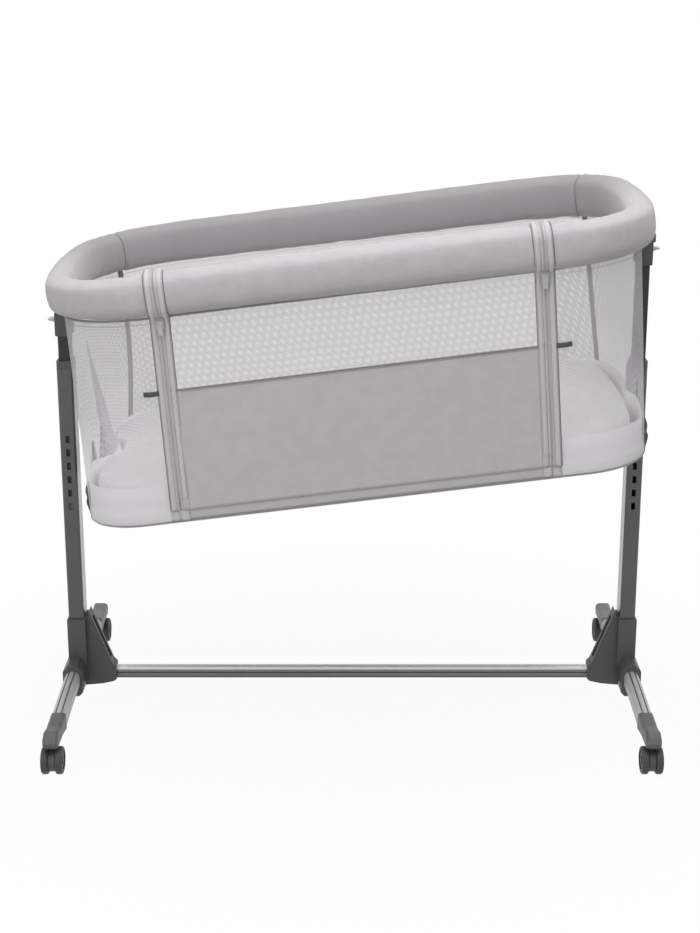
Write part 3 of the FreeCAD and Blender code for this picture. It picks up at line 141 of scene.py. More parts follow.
class Finish(Tree):
    """A material in the making: one principled surface and the nodes that feed it."""

    def __init__(self, name):
        self.material = bpy.data.materials.new(name)
        super().__init__(self.material)

    def place(self, stretch=(1, 1, 1)):
        """Object coordinates, stretched."""
        spot = self.node("ShaderNodeTexCoord", out="Object")
        return self.node("ShaderNodeMapping", {}, {"Vector": spot, "Scale": stretch})

    def cloth(self, stretch=(1, 1, 1)):
        """The cloth's own two directions, in metres, as they were before it was sewn up."""
        spot = self.node("ShaderNodeUVMap", {"uv_map": "cloth"})
        return self.node("ShaderNodeMapping", {}, {"Vector": spot, "Scale": stretch})

    def split(self, spot):
        parts = self.node("ShaderNodeSeparateXYZ", {}, [spot])
        return [Wire(self, socket) for socket in parts.socket.node.outputs]

    def noise(self, spot, scale, detail=2.0, roughness=0.5):
        return self.node("ShaderNodeTexNoise", {},
                         {"Vector": spot, "Scale": scale, "Detail": detail, "Roughness": roughness})

    def spread(self, value, low, high, to_low=0.0, to_high=1.0):
        return self.node("ShaderNodeMapRange", {"interpolation_type": "SMOOTHSTEP"},
                         {"Value": value, "From Min": low, "From Max": high,
                          "To Min": to_low, "To Max": to_high})

    def blend(self, factor, first, second):
        """A colour between two, each of which may itself be a wire."""
        return self.node("ShaderNodeMix", {"data_type": "RGBA"}, {0: factor, 6: first, 7: second}, out=2)

    def bump(self, height, depth, strength=1.0):
        return self.node("ShaderNodeBump", {},
                         {"Height": height, "Distance": depth, "Strength": strength})

    def surface(self, **inputs):
        """The principled surface, with its sockets' values or links by name."""
        named = {key.replace("_", " ").title(): value for key, value in inputs.items()}
        return self.node("ShaderNodeBsdfPrincipled", {}, named)

    def done(self, **inputs):
        """Joins everything into the principled surface and returns the material."""
        self.shown(self.surface(**inputs))
        return self.material


def tone(red, green=None, blue=None):
    """A screen colour from 0 to 255 as the linear colour a shader takes."""
    values = [red, red if green is None else green, red if blue is None else blue]
    linear = [v / 3294.6 if v <= 10 else ((v / 255 + 0.055) / 1.055) ** 2.4 for v in values]
    return (*linear, 1.0)


def scaled(colour, share):
    """A colour with its light made more or less, up to white."""
    return (*(min(1, c * share) for c in colour[:3]), 1)


def melange(name, pale, dark, thread=0.0008, sheen=0.2, painted_inner_shade=1.0):
    """A flecked woven cloth: crossing threads, stray pale fibres and a faint cloudiness, and painted shade
    on a rim cover's inside and underside when asked for.
    """
    f = Finish(name)
    across, along, _ = f.split(f.cloth())
    turns = 2 * math.pi / thread
    weave = (across * turns).math("SINE") * (along * turns).math("SINE")
    flecks = f.noise(f.cloth((1, 0.3, 1)), 1600, 3, 0.7)
    clouds = f.noise(f.cloth(), 45, 3, 0.6)
    mixed = f.spread(flecks, 0.35, 0.66) * 0.72 + f.spread(clouds, 0.3, 0.7) * 0.28
    colour = f.blend(mixed, dark, pale)
    if painted_inner_shade < 1:
        # Painted shade: darker on the cover's inside face towards the back, and along the fold under it.
        # Distances round the rim cover's section, from the middle of its top down its inside.
        inner = f.spread(along, 0.085, 0.112, 1, 0).math("MAXIMUM", f.spread(along, 0.160, 0.184))
        under = f.spread(along, 0.070, 0.090) * f.spread(along, 0.096, 0.134, 1, 0)
        _, depth, _ = f.split(f.place())
        shaded = scaled(dark, painted_inner_shade)
        colour = f.blend(inner * f.spread(depth, -0.12, 0.20), colour, shaded)
        colour = f.blend(under * 0.6, colour, shaded)
    return f.done(base_color=colour,
                  roughness=0.9 - weave * 0.04,
                  normal=f.bump(weave * 0.5 + flecks * 0.6, 0.00008),
                  sheen_weight=sheen, sheen_roughness=0.5)


def netting(name, pale, dark, hole=0.38, foot=None):
    """A warp-knit net: rows of six-sided holes, staggered, between soft round strands."""
    f = Finish(name)
    across, along, _ = f.split(f.cloth())
    row, soft = MESH_PITCH * math.sqrt(3), 0.09

    def to_hole(shift):
        a = ((across / MESH_PITCH + shift).math("FRACT") - 0.5) * MESH_PITCH
        b = ((along / row + shift).math("FRACT") - 0.5) * row
        return (a * a + b * b).math("SQRT")

    nearest = to_hole(10.0).math("MINIMUM", to_hole(10.5))
    strand = f.spread(nearest, MESH_PITCH * (hole - soft), MESH_PITCH * (hole + soft))
    yarn = f.noise(f.cloth(), 2500, 2, 0.6)
    colour = f.blend(f.spread(yarn, 0.3, 0.7), dark, pale)
    if foot is not None:
        # Painted light: a paler colour near the foot, where the other cloth shows through, standing in for
        # the lit mattress behind; heights below the rim.
        colour = f.blend(f.spread(along, -0.27, -0.17, 1, 0), colour, foot)
    return f.done(base_color=colour, roughness=0.75, normal=f.bump(strand, 0.0004, 0.6),
                  alpha=strand, sheen_weight=0.15)


def painted(name, colour):
    """A satin powder coat: fine orange peel over a slightly uneven gloss."""
    f = Finish(name)
    grain = f.noise(f.place(), 900, 2, 0.5)
    patches = f.noise(f.place(), 14, 3, 0.6)
    return f.done(base_color=f.blend(f.spread(patches, 0.35, 0.65), colour, scaled(colour, 1.16)),
                  roughness=0.38 + patches * 0.03,
                  normal=f.bump(grain, 0.00003, 0.4), coat_weight=0.8, coat_roughness=0.16)


def extruded(name, colour, lengthways, shade_and_highlight_runs=()):
    """Anodised aluminium with the fine die lines of an extrusion, and darker runs of painted shade and paler
    runs of painted highlight.

    A run is (axis, whether both sides of the middle have it, place, half width, tone).
    """
    f = Finish(name)
    stretch = [900, 900, 900]
    stretch[lengthways] = 6
    lines = f.noise(f.place(tuple(stretch)), 1, 3, 0.6)
    patches = f.noise(f.place(), 12, 2, 0.5)
    shade = f.blend(f.spread(lines, 0.3, 0.7), scaled(colour, 0.86), colour)
    # Painted shade and painted highlight: darker and paler runs along the tube.
    for axis, both, at, half, run in shade_and_highlight_runs:
        spot = f.split(f.place())[axis]
        spot = spot.math("ABSOLUTE") if both else spot
        off = (spot - at).math("ABSOLUTE")
        shade = f.blend(f.spread(off, half * 0.7, half * 1.2, 1, 0), shade, run)
    return f.done(base_color=shade, metallic=0.35,
                  roughness=0.40 + lines * 0.10 + patches * 0.05,
                  normal=f.bump(lines, 0.00003, 0.4))


def moulded(name, colour, roughness=0.5, grain_size=1400):
    """Moulded plastic with a fine spark-eroded grain."""
    f = Finish(name)
    grain = f.noise(f.place(), grain_size, 3, 0.6)
    patches = f.noise(f.place(), 20, 3, 0.6)
    return f.done(base_color=f.blend(f.spread(patches, 0.3, 0.7), colour, scaled(colour, 1.12)),
                  roughness=roughness + grain * 0.12,
                  normal=f.bump(grain, 0.00005, 0.7))


def webbing(name, pale, dark, rib=0.0016):
    """A ribbed narrow tape: cross ribs with a fine pick in each."""
    f = Finish(name)
    across, along, _ = f.split(f.cloth())
    ribs = (along * (2 * math.pi / rib)).math("SINE")
    picks = (across * (2 * math.pi / 0.0007)).math("SINE")
    fuzz = f.noise(f.cloth(), 1800, 2, 0.6)
    height = ribs * 0.6 + picks * 0.25 + fuzz * 0.3
    return f.done(base_color=f.blend(f.spread(height, -0.6, 0.9), dark, pale),
                  roughness=0.85, normal=f.bump(height, 0.00018), sheen_weight=0.1)


def quilted_knit(name, pale, dark):
    """A soft jersey for the mattress: small knit loops and a cloudy nap."""
    f = Finish(name)
    turns = 2 * math.pi / 0.0013
    across, along, up = ((axis * turns).math("SINE") for axis in f.split(f.place()))
    loops = across * along + up * 0.4
    nap = f.noise(f.place(), 60, 4, 0.6)
    return f.done(base_color=f.blend(f.spread(nap, 0.3, 0.7), dark, pale),
                  roughness=0.9, normal=f.bump(loops * 0.4 + nap * 0.6, 0.0003), sheen_weight=0.3)


# The rim cloth carries painted shade on its inside face and along its underside.
RIM_CLOTH = melange("rim_melange", tone(206, 202, 205), tone(184, 180, 183), painted_inner_shade=0.74)
PANEL_CLOTH = melange("panel_melange", tone(205, 201, 204), tone(188, 184, 187), thread=0.0007)
LINING = melange("lining_melange", tone(254, 252, 254), tone(246, 244, 246), thread=0.0009)
BASE_CLOTH = melange("base_melange", tone(62, 61, 62), tone(46, 45, 46), thread=0.0009, sheen=0.0)
NET = netting("hexagonal_net", tone(218, 215, 218), tone(200, 197, 200))
# The ends' net is a darker copy of the net, painted shade for ends turned from the light, with painted light
# near its foot.
END_NET_WITH_PAINTED_LIGHT = netting("end_net", tone(202, 199, 202), tone(184, 181, 184), hole=0.35, foot=tone(240, 238, 240))
TAPE = webbing("zip_tape_weave", tone(226, 222, 225), tone(192, 188, 191))
BINDING = webbing("binding_weave", tone(164, 160, 163), tone(130, 127, 129), rib=0.0011)
PIPING = webbing("piping_weave", tone(222, 220, 221), tone(200, 198, 199), rib=0.0010)
SEAM_THREAD = webbing("seam_thread", tone(132, 129, 131), tone(104, 102, 104), rib=0.0006)
STRAP = webbing("strap_weave", tone(100, 98, 99), tone(70, 68, 69))
ZIP_COIL = moulded("zip_coil_nylon", tone(168, 165, 167), 0.4, 2500)
SLIDER_METAL = moulded("zip_slider_paint", tone(186, 184, 186), 0.35, 2500)
JERSEY = quilted_knit("mattress_jersey", tone(246, 244, 246), tone(234, 232, 234))
LEG_PAINT = painted("leg_powder_coat", tone(66, 65, 67))
# The inner legs' dark paint, made darker still: painted shade for the outer legs' slots, which show the
# inner leg.
INNER_PAINT_AND_SLOT_SHADE = moulded("inner_leg_powder_coat", tone(50, 49, 51), 0.6)
# Painted shade: two dark lines along the top of each foot tube, for its grooves.
FOOT_METAL = extruded("foot_anodised", tone(200, 200, 202), 1, shade_and_highlight_runs=[
    (0, True, 0.4535, 0.0011, tone(78)), (0, True, 0.4445, 0.0011, tone(96))])
# Painted shade low on the bar and in its groove, and a painted highlight along its top.
BAR_METAL = extruded("bar_anodised", tone(150, 150, 152), 0, shade_and_highlight_runs=[
    (2, False, 0.0455, 0.0030, tone(104)), (2, False, 0.0535, 0.0014, tone(70)),
    (2, False, 0.0640, 0.0055, tone(236))])
HUB_PLASTIC = moulded("hub_moulding", tone(80, 79, 81), 0.42)
CAP_PLASTIC = moulded("end_cap_moulding", tone(88, 87, 88), 0.4)
REAR_CAP_PLASTIC = moulded("rear_cap_moulding", tone(128, 127, 128), 0.4)
HEAD_PLASTIC = moulded("leg_head_moulding", tone(76, 75, 77), 0.45)
LEVER_PLASTIC = moulded("lever_moulding", tone(204, 203, 204), 0.4)
WHEEL_PLASTIC = moulded("wheel_moulding", tone(62, 61, 63), 0.5)
FORK_PLASTIC = moulded("caster_moulding", tone(76, 75, 77), 0.45)
STEEL = extruded("plain_steel", tone(165, 165, 167), 2)
BOARD = moulded("floor_board_grain", tone(120, 118, 116), 0.7, 300)


# ---- meshes


def linked(name, data):
    """A new object of the scene that holds this data."""
    made = bpy.data.objects.new(name, data)
    bpy.context.scene.collection.objects.link(made)
    return made


def make_object(name, points, faces, finish, cloth=None):
    """A mesh object from rows of points, with its cloth map where it has one."""
    mesh = bpy.data.meshes.new(name)
    mesh.from_pydata(np.asarray(points, float).tolist(), [], faces)
    if cloth is not None:
        layer = mesh.uv_layers.new(name="cloth")
        indices = np.empty(len(mesh.loops), int)
        mesh.loops.foreach_get("vertex_index", indices)
        layer.data.foreach_set("uv", np.asarray(cloth, float)[indices].ravel())
    mesh.materials.append(finish)
    tidy(mesh)
    return linked(name, mesh)


def tidy(mesh, near=1e-6):
    """Merges doubles, drops empty faces and turns the faces of closed forms outwards."""
    work = bmesh.new()
    work.from_mesh(mesh)
    bmesh.ops.remove_doubles(work, verts=work.verts, dist=near)
    bmesh.ops.dissolve_degenerate(work, edges=work.edges, dist=near)
    if all(len(e.link_faces) == 2 for e in work.edges):
        bmesh.ops.recalc_face_normals(work, faces=work.faces)
    work.to_mesh(mesh)
    work.free()
    smoothed(mesh)


def smoothed(mesh):
    mesh.polygons.foreach_set("use_smooth", [True] * len(mesh.polygons))
    mesh.update()


def grid_faces(rows, columns, round_rows=False, round_columns=False, flip=False):
    """Quads between rows of points. A round grid closes on itself, and flip turns the quads over."""
    faces = []
    for r in range(rows if round_rows else rows - 1):
        here, there = r * columns, (r + 1) % rows * columns
        for c in range(columns if round_columns else columns - 1):
            d = (c + 1) % columns
            quad = (here + c, here + d, there + d, there + c)
            faces.append(quad[::-1] if flip else quad)
    return faces


def applied(piece):
    """Turns a piece and its modifiers into a plain mesh."""
    bpy.context.view_layer.update()
    graph = bpy.context.evaluated_depsgraph_get()
    old = piece.data
    piece.data = bpy.data.meshes.new_from_object(piece.evaluated_get(graph))
    piece.modifiers.clear()
    piece.data.name = piece.name
    bpy.data.meshes.remove(old)
    return piece


def modified(piece, kind, **settings):
    """Adds a modifier with these settings and applies it to the piece's mesh."""
    modifier = piece.modifiers.new(kind.lower(), kind)
    for key, value in settings.items():
        setattr(modifier, key, value)
    return applied(piece)


def places_of(mesh):
    """The places of a mesh's points, as rows."""
    spots = np.empty(len(mesh.vertices) * 3)
    mesh.vertices.foreach_get("co", spots)
    return spots.reshape(-1, 3)


def set_level_places(mesh, level):
    """Moves a mesh's points to places given in the basket's level frame."""
    mesh.vertices.foreach_set("co", in_basket(level).ravel())
    mesh.update()


def join(name, pieces):
    """One object from several, each keeping its own material."""
    with bpy.context.temp_override(active_object=pieces[0], selected_editable_objects=pieces):
        bpy.ops.object.join()
    pieces[0].name = name
    pieces[0].data.name = name
    return pieces[0]


def fit(piece, body, slot, *nodes, pad=None, flat=None, rests_on="rim_frame_tube", area=None, trims=()):
    """Hangs a finished piece on its body and hides the solids that it stands for."""
    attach(piece, body)
    if nodes:
        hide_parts(*nodes)
    return piece


def run_of(points):
    """Distance travelled along a row of points."""
    return np.concatenate([[0], np.cumsum(np.linalg.norm(np.diff(points, axis=0), axis=1))])


def ways(points, loop=False):
    """The direction of travel at each point of a row."""
    if loop:
        way = np.roll(points, -1, axis=0) - np.roll(points, 1, axis=0)
    else:
        way = np.gradient(points, axis=0)
    return way / (np.linalg.norm(way, axis=1)[:, None] + 1e-12)


def sideways(line, loop=False):
    """The outward direction at each point of a level line that goes the outline's way round."""
    way = ways(line, loop)
    return np.stack([way[:, 1], -way[:, 0]], 1)


def ease(value, low, high):
    """Rises smoothly from 0 to 1 between two values."""
    share = np.clip((value - low) / (high - low), 0, 1)
    return share * share * (3 - 2 * share)


def lowered(line, depth=0.0):
    """A level line at a depth below the rim. Without a depth, level directions in three axes."""
    return np.column_stack([line, np.full(len(line), -depth)])


def in_basket(points):
    """Points of the basket's own level frame, where they really are."""
    return np.asarray(points, float).reshape(-1, 3) @ BASKET_TURN.T + BASKET_PLACE


def in_level(points):
    """The way back from in_basket: real points in the basket's own level frame."""
    return (np.asarray(points, float).reshape(-1, 3) - BASKET_PLACE) @ BASKET_TURN


def ripple(x, y, z, size, seed=0.0):
    """A smooth random wave from -1 to 1 over places, as long as its size."""
    return noise.noise(Vector((x / size + seed, y / size, z / size)))


def drawn(name, spine, outward, section, finish, heights=None, loop=False):
    """A section of (across, out) points drawn along a spine of the basket's level frame."""
    spine, outward, section = (np.asarray(rows, float) for rows in (spine, outward, section))
    across = np.cross(ways(spine, loop), outward)
    across /= np.linalg.norm(across, axis=1)[:, None] + 1e-12
    heights = np.ones(len(spine)) if heights is None else heights
    count, size = len(spine), len(section)
    points = (spine[:, None] + across[:, None] * section[None, :, :1]
              + outward[:, None] * section[None, :, 1:] * heights[:, None, None])
    cloth = np.stack(np.meshgrid(run_of(section), run_of(spine)), -1).reshape(-1, 2)
    faces = grid_faces(count, size, round_rows=loop, round_columns=True)
    if not loop:
        faces += [tuple(range(size))[::-1], tuple(range((count - 1) * size, count * size))]
    return make_object(name, in_basket(points), faces, finish, cloth)


def round_section(radius, count=8):
    turn = np.linspace(0, 2 * math.pi, count, endpoint=False)
    return np.stack([radius * np.cos(turn), radius * np.sin(turn)], 1)


# ---- rows of small things


def small_form(name, size, rounding):
    """A small block with all its edges rounded, for a tooth or a stitch."""
    mesh = bpy.data.meshes.new(name)
    work = bmesh.new()
    bmesh.ops.create_cube(work, size=1.0)
    bmesh.ops.scale(work, vec=size, verts=work.verts)
    bmesh.ops.bevel(work, geom=work.edges[:] + work.verts[:], offset=rounding, segments=1,
                    affect="EDGES", profile=0.5)
    work.to_mesh(mesh)
    work.free()
    return linked(name, mesh)


def row_tree():
    """Sets an item at even steps along a path, turned to the path and to its outward side."""
    tree = bpy.data.node_groups.new("row_along_path", "GeometryNodeTree")
    for label, kind in (("Geometry", "Geometry"), ("Pitch", "Float"), ("Item", "Object"),
                        ("Finish", "Material")):
        tree.interface.new_socket(label, in_out="INPUT", socket_type=f"NodeSocket{kind}")
    tree.interface.new_socket("Geometry", in_out="OUTPUT", socket_type="NodeSocketGeometry")

    def add(kind, settings=None, **inputs):
        """Adds a node and returns its first output, or the group's own inputs."""
        node = tree.nodes.new(kind)
        for key, value in (settings or {}).items():
            setattr(node, key, value)
        for key, value in inputs.items():
            if isinstance(value, bpy.types.NodeSocket):
                tree.links.new(value, node.inputs[key])
            else:
                node.inputs[key].default_value = value
        return node.outputs if kind == "NodeGroupInput" else node.outputs[0]

    given = add("NodeGroupInput")
    path = add("GeometryNodeMeshToCurve", Mesh=given["Geometry"])
    even = add("GeometryNodeResampleCurve", {"mode": "LENGTH"}, Curve=path, Length=given["Pitch"])
    outward = add("GeometryNodeInputNamedAttribute", {"data_type": "FLOAT_VECTOR"}, Name="outward")
    along = add("FunctionNodeAlignRotationToVector", {"axis": "Y"},
                Vector=add("GeometryNodeInputTangent"))
    turned = add("FunctionNodeAlignRotationToVector", {"axis": "Z", "pivot_axis": "Y"},
                 Rotation=along, Vector=outward)
    item = add("GeometryNodeObjectInfo", {"transform_space": "ORIGINAL"}, Object=given["Item"])
    placed = add("GeometryNodeInstanceOnPoints", Points=even, Rotation=turned,
                 Instance=item.node.outputs["Geometry"])
    real = add("GeometryNodeRealizeInstances", Geometry=placed)
    dressed = add("GeometryNodeSetMaterial", Geometry=real, Material=given["Finish"])
    tree.links.new(dressed, tree.nodes.new("NodeGroupOutput").inputs[0])
    return tree


ROW_TREE = row_tree()


def row_along(name, spine, outward, pitch, item, finish, late=0.0):
    """A row of one small form along a spine of the basket's level frame, as a plain mesh."""
    run = run_of(spine)
    at = np.linspace(late, run[-1], max(2, int(run[-1] / 0.004)))
    spine, outward = (np.stack([np.interp(at, run, rows[:, k]) for k in range(3)], 1)
                      for rows in (spine, outward))
    mesh = bpy.data.meshes.new(name)
    mesh.from_pydata(in_basket(spine).tolist(), [(i, i + 1) for i in range(len(at) - 1)], [])
    layer = mesh.attributes.new("outward", "FLOAT_VECTOR", "POINT")
    layer.data.foreach_set("vector", (outward @ BASKET_TURN.T).ravel())
    made = linked(name, mesh)
    modifier = made.modifiers.new("row", "NODES")
    modifier.node_group = ROW_TREE
    given = {"Pitch": pitch, "Item": item, "Finish": finish}
    for socket in ROW_TREE.interface.items_tree:
        if socket.in_out == "INPUT" and socket.name in given:
            modifier[socket.identifier] = given[socket.name]
    smoothed(applied(made).data)
    return made


# ---- outlines of the basket


def outline(shape, inset=0.0, centre=0.0, steps=(14, 22, 120)):
    """A closed outline of sides, ends and corners, from the front's right corner round by the right."""
    half_length, half_width = shape["half_length"] - inset, shape["half_width"] - inset
    corner, end_round = shape["corner"] - inset, shape["end_round"] - inset
    corner_y, end_x = half_width - corner, half_length - end_round
    side_x = end_x + math.sqrt((end_round - corner) ** 2 - corner_y**2)
    lean = math.atan2(corner_y, side_x - end_x)
    n_corner, n_end, n_side = steps

    def arc(x, y, radius, start, stop, count):
        turn = np.linspace(start, stop, count + 1)[:-1]
        return np.stack([x + radius * np.cos(turn), y + radius * np.sin(turn)], 1)

    half = np.concatenate([
        arc(side_x, -corner_y, corner, -math.pi / 2, -lean, n_corner),
        arc(end_x, 0, end_round, -lean, lean, n_end),
        arc(side_x, corner_y, corner, lean, math.pi / 2, n_corner),
        np.stack([np.linspace(side_x, -side_x, n_side + 1), np.full(n_side + 1, half_width)], 1)[:-1]])
    return np.concatenate([half, -half, half[:1]]) + (centre, 0)


def wall_share(depth):
    """How far down the wall a depth is, from 0 at its top to 1 at its foot."""
    return (depth - WALL_TOP_DEPTH) / (WALL_FOOT_DEPTH - WALL_TOP_DEPTH)


def wall_loop(depth):
    """The wall's outline at a depth below the rim, as straight rulings from its top to its foot."""
    top, foot = outline(WALL_TOP), outline(WALL_FOOT, centre=-FLOOR_SWAY)
    return recessed(top + (foot - top) * wall_share(depth), depth)


def recessed(loop, depth, room=0.0):
    """Draws the ends in where the legs stand, easing out again to each side."""
    leg_face = PIVOT_REACH - LEG_HALF_WIDTH - LEG_GAP - room
    level_face = leg_face - 2 * (PIVOT_REACH - LEG_REACH)
    face = min(level_face, leg_face - (depth - PIVOT_DROP) * math.tan(TILT))
    recess = 1 - ease(np.abs(loop[:, 1]), LEG_HALF_DEPTH + room, LEG_HALF_DEPTH + room + RECESS_EASE)
    loop = loop.copy()
    for side in (LEFT, RIGHT):
        loop[:, 0] -= side * np.maximum(loop[:, 0] * side - face, 0) * recess
    return loop


def cut_loop(loop, start_x, stop_x, start_side, stop_side):
    """Distances along a loop, and the two where it crosses start_x and stop_x, on its front or back."""
    run = run_of(loop)
    found = []
    for x, side in ((start_x, start_side), (stop_x, stop_side)):
        for i, (a, b) in enumerate(zip(loop, loop[1:])):
            if a[1] * side > 0.02 and (a[0] - x) * (b[0] - x) <= 0 and a[0] != b[0]:
                found.append(run[i] + (run[i + 1] - run[i]) * (x - a[0]) / (b[0] - a[0]))
                break
    start, stop = found
    return run, start, stop + run[-1] if stop < start else stop


def stretch_of(loop, start_x, stop_x, start_side, stop_side, count):
    """Evenly spaced points along one stretch of a loop, going the loop's own way round."""
    run, start, stop = cut_loop(loop, start_x, stop_x, start_side, stop_side)
    along = np.linspace(start, stop, count) % run[-1]
    return np.stack([np.interp(along, run, loop[:, k]) for k in (0, 1)], 1), stop - start


def zip_line(depth, side, gap=0.0):
    """x of the zip's middle at a depth. It leans downhill under the rim, as the wall does."""
    return side * (ZIP_X + gap) - FLOOR_SWAY * max(0.0, wall_share(depth))


def seam_line(depth, side):
    """x of the upright corner seam at the back. The left one leans with the wall."""
    return side * SEAM_X - (0.030 * max(0.0, wall_share(depth)) ** 2 if side == LEFT else 0.0)


# ---- rim


def section(half_width, half_height, radius, count=44):
    """A rounded rectangle, starting on top and going round by the inside, and its outward directions."""
    turn = 2 * math.pi * np.arange(count + 1) / count
    normals = np.stack([np.sin(turn), np.cos(turn)], 1)
    flats = np.array([half_width - radius, half_height - radius])
    return flats * np.clip(normals * 2.2, -1, 1) + radius * normals, normals


def padding(name, start_x, stop_x, start_side, stop_side, columns):
    """A length of padded rail cover, rounded off where it ends and slightly wavy along its foot."""
    loop = outline(RIM, steps=(40, 60, 200))
    run, start, stop = cut_loop(loop, start_x, stop_x, start_side, stop_side)
    length = stop - start
    edge = np.array([0, 0.0004, 0.0012, 0.0026, 0.0045, 0.007, 0.012, 0.018])
    middle = np.linspace(0.026, length - 0.026, columns)
    places = np.concatenate([edge, middle, (length - edge)[::-1]])
    profile, outward = section(PADDING_WIDTH / 2, PADDING_HEIGHT / 2, PADDING_ROUND)
    around = run_of(profile)

    def on_loop(s):
        return np.array([np.interp((start + s) % run[-1], run, loop[:, k]) for k in (0, 1)])

    rings, cloth = [], []
    for s in places:
        here, way = on_loop(s), on_loop(s + SMOOTHING_STEP) - on_loop(s - SMOOTHING_STEP)
        inward = np.array([-way[1], way[0]]) / np.linalg.norm(way)
        from_end = min(s, length - s)
        tuck = PADDING_END - math.sqrt(max(0.0, PADDING_END**2 - max(0.0, PADDING_END - from_end) ** 2))
        pucker = 0.0006 * math.exp(-from_end / 0.03) * math.sin(s * 900)
        ring = []
        for (u, w), (nu, nw) in zip(profile, outward):
            x, y = here + inward * u
            swell = (0.0008 * ripple(x, y, w, 0.055) + 0.0005 * ripple(x, y, w, 0.017, 9.0)
                     + 0.0012 * max(0.0, -nw) * ripple(x, y, 0, 0.030, 4.0))
            slim = 0.0042 * ease(-x, 0.24, 0.44) + 0.0030 * ease(x, 0.26, 0.44)
            off = swell - tuck * 0.8 + pucker - slim * max(0.0, -nu)
            x, y = here + inward * (u + nu * off)
            z = w + nw * off + taper(x) * (1 if w < 0 else 0.15) * w / (PADDING_HEIGHT / 2)
            z -= 0.0058 * max(0.0, nw) * ease(abs(x), 0.20, 0.40) * (1 - ease(y, -0.16, 0.16))
            z -= 0.0060 * max(0.0, nu) * max(0.0, -nw + 0.3) * ease(y, 0.10, 0.22)
            ring.append((x, y, z))
        rings.append(ring)
        cloth.append([(s, a) for a in around])
    hubs = [[(*on_loop(s), 0.0)] * len(profile) for s in (0.0, length)]
    rings, cloth = [hubs[0], *rings, hubs[1]], [cloth[0], *cloth, cloth[-1]]
    return make_object(name, in_basket(rings), grid_faces(len(rings), len(profile)), RIM_CLOTH,
                       np.reshape(cloth, (-1, 2)))


def taper(x):
    """The padding is a little shallower at the low end and deeper at the high end."""
    return 0.0022 * max(-1.0, min(1.0, x / 0.40))


def rim():
    """The padded covers of the rim frame and the front rail, with a narrow gap for each zip."""
    cut = ZIP_X + 0.001
    for name, *stretch in (
            ("back_rim_cover", SEAM_X, -SEAM_X, REAR, REAR, 150),
            ("right_rim_cover", cut, SEAM_X, FRONT, REAR, 130),
            ("left_rim_cover", -SEAM_X, -cut, REAR, FRONT, 130),
            ("front_rail_cover", 0.001 - ZIP_X, ZIP_X - 0.001, FRONT, FRONT, 120)):
        body = "drop_side" if name == "front_rail_cover" else "basket"
        fit(padding(name, *stretch), body, "rim_fabric", name.replace("cover", "padding"), pad=0.9)


# ---- walls


def wall(name, start_at, stop_at, start_side, stop_side, depths, columns, finish, billow=0.0, lift=0.0):
    """A stretch of the basket's wall between two upright edges, as one curved sheet, and its flat size."""
    rows, cloth, lengths = [], [], []
    across = np.sin(np.pi * np.linspace(0, 1, columns))
    for depth in depths:
        line, length = stretch_of(wall_loop(depth), start_at(depth), stop_at(depth), start_side,
                                  stop_side, columns)
        soft = across * math.sin(math.pi * (depth - depths[0]) / (depths[-1] - depths[0]))
        waves = np.array([ripple(x, y, depth, 0.09, 3.0) for x, y in line])
        line = line + sideways(line) * (lift - soft * (billow + waves * 0.0012))[:, None]
        rows.append(lowered(line, depth))
        cloth.append(lowered(np.linspace(0, length, columns), depth))
        lengths.append(length)
    piece = make_object(name, in_basket(rows), grid_faces(len(rows), columns, flip=True), finish,
                        np.concatenate(cloth))
    return piece, (sum(lengths) / len(lengths), depths[-1] - depths[0])


def band(name, depth, height, span, lift):
    """A narrow binding tape round a stretch of the wall."""
    depths = depth + np.linspace(-height / 2, height / 2, 4)
    piece, _ = wall(name, *span, depths, 120, BINDING, lift=lift)
    return modified(piece, "SOLIDIFY", thickness=0.0008, offset=1)


def seam_tape(side):
    """The upright tape inside the corner seam, where the back's net meets an end's."""
    spine, outward = [], []
    for depth in np.linspace(WALL_TOP_DEPTH - 0.002, WALL_FOOT_DEPTH, 40):
        middle = seam_line(depth, side)
        line, _ = stretch_of(wall_loop(depth), middle + 0.004, middle - 0.004, REAR, REAR, 5)
        spine.append((*line[2], -depth))
        outward.append((*sideways(line)[2], 0.0))
    flat = [(-0.0045, -0.0008), (0.0045, -0.0008), (0.0045, 0.0008), (0.0015, 0.0010), (0, 0.0019),
            (-0.0015, 0.0010), (-0.0045, 0.0008)]
    return drawn(f"seam_{side}", spine, outward, flat, BINDING)


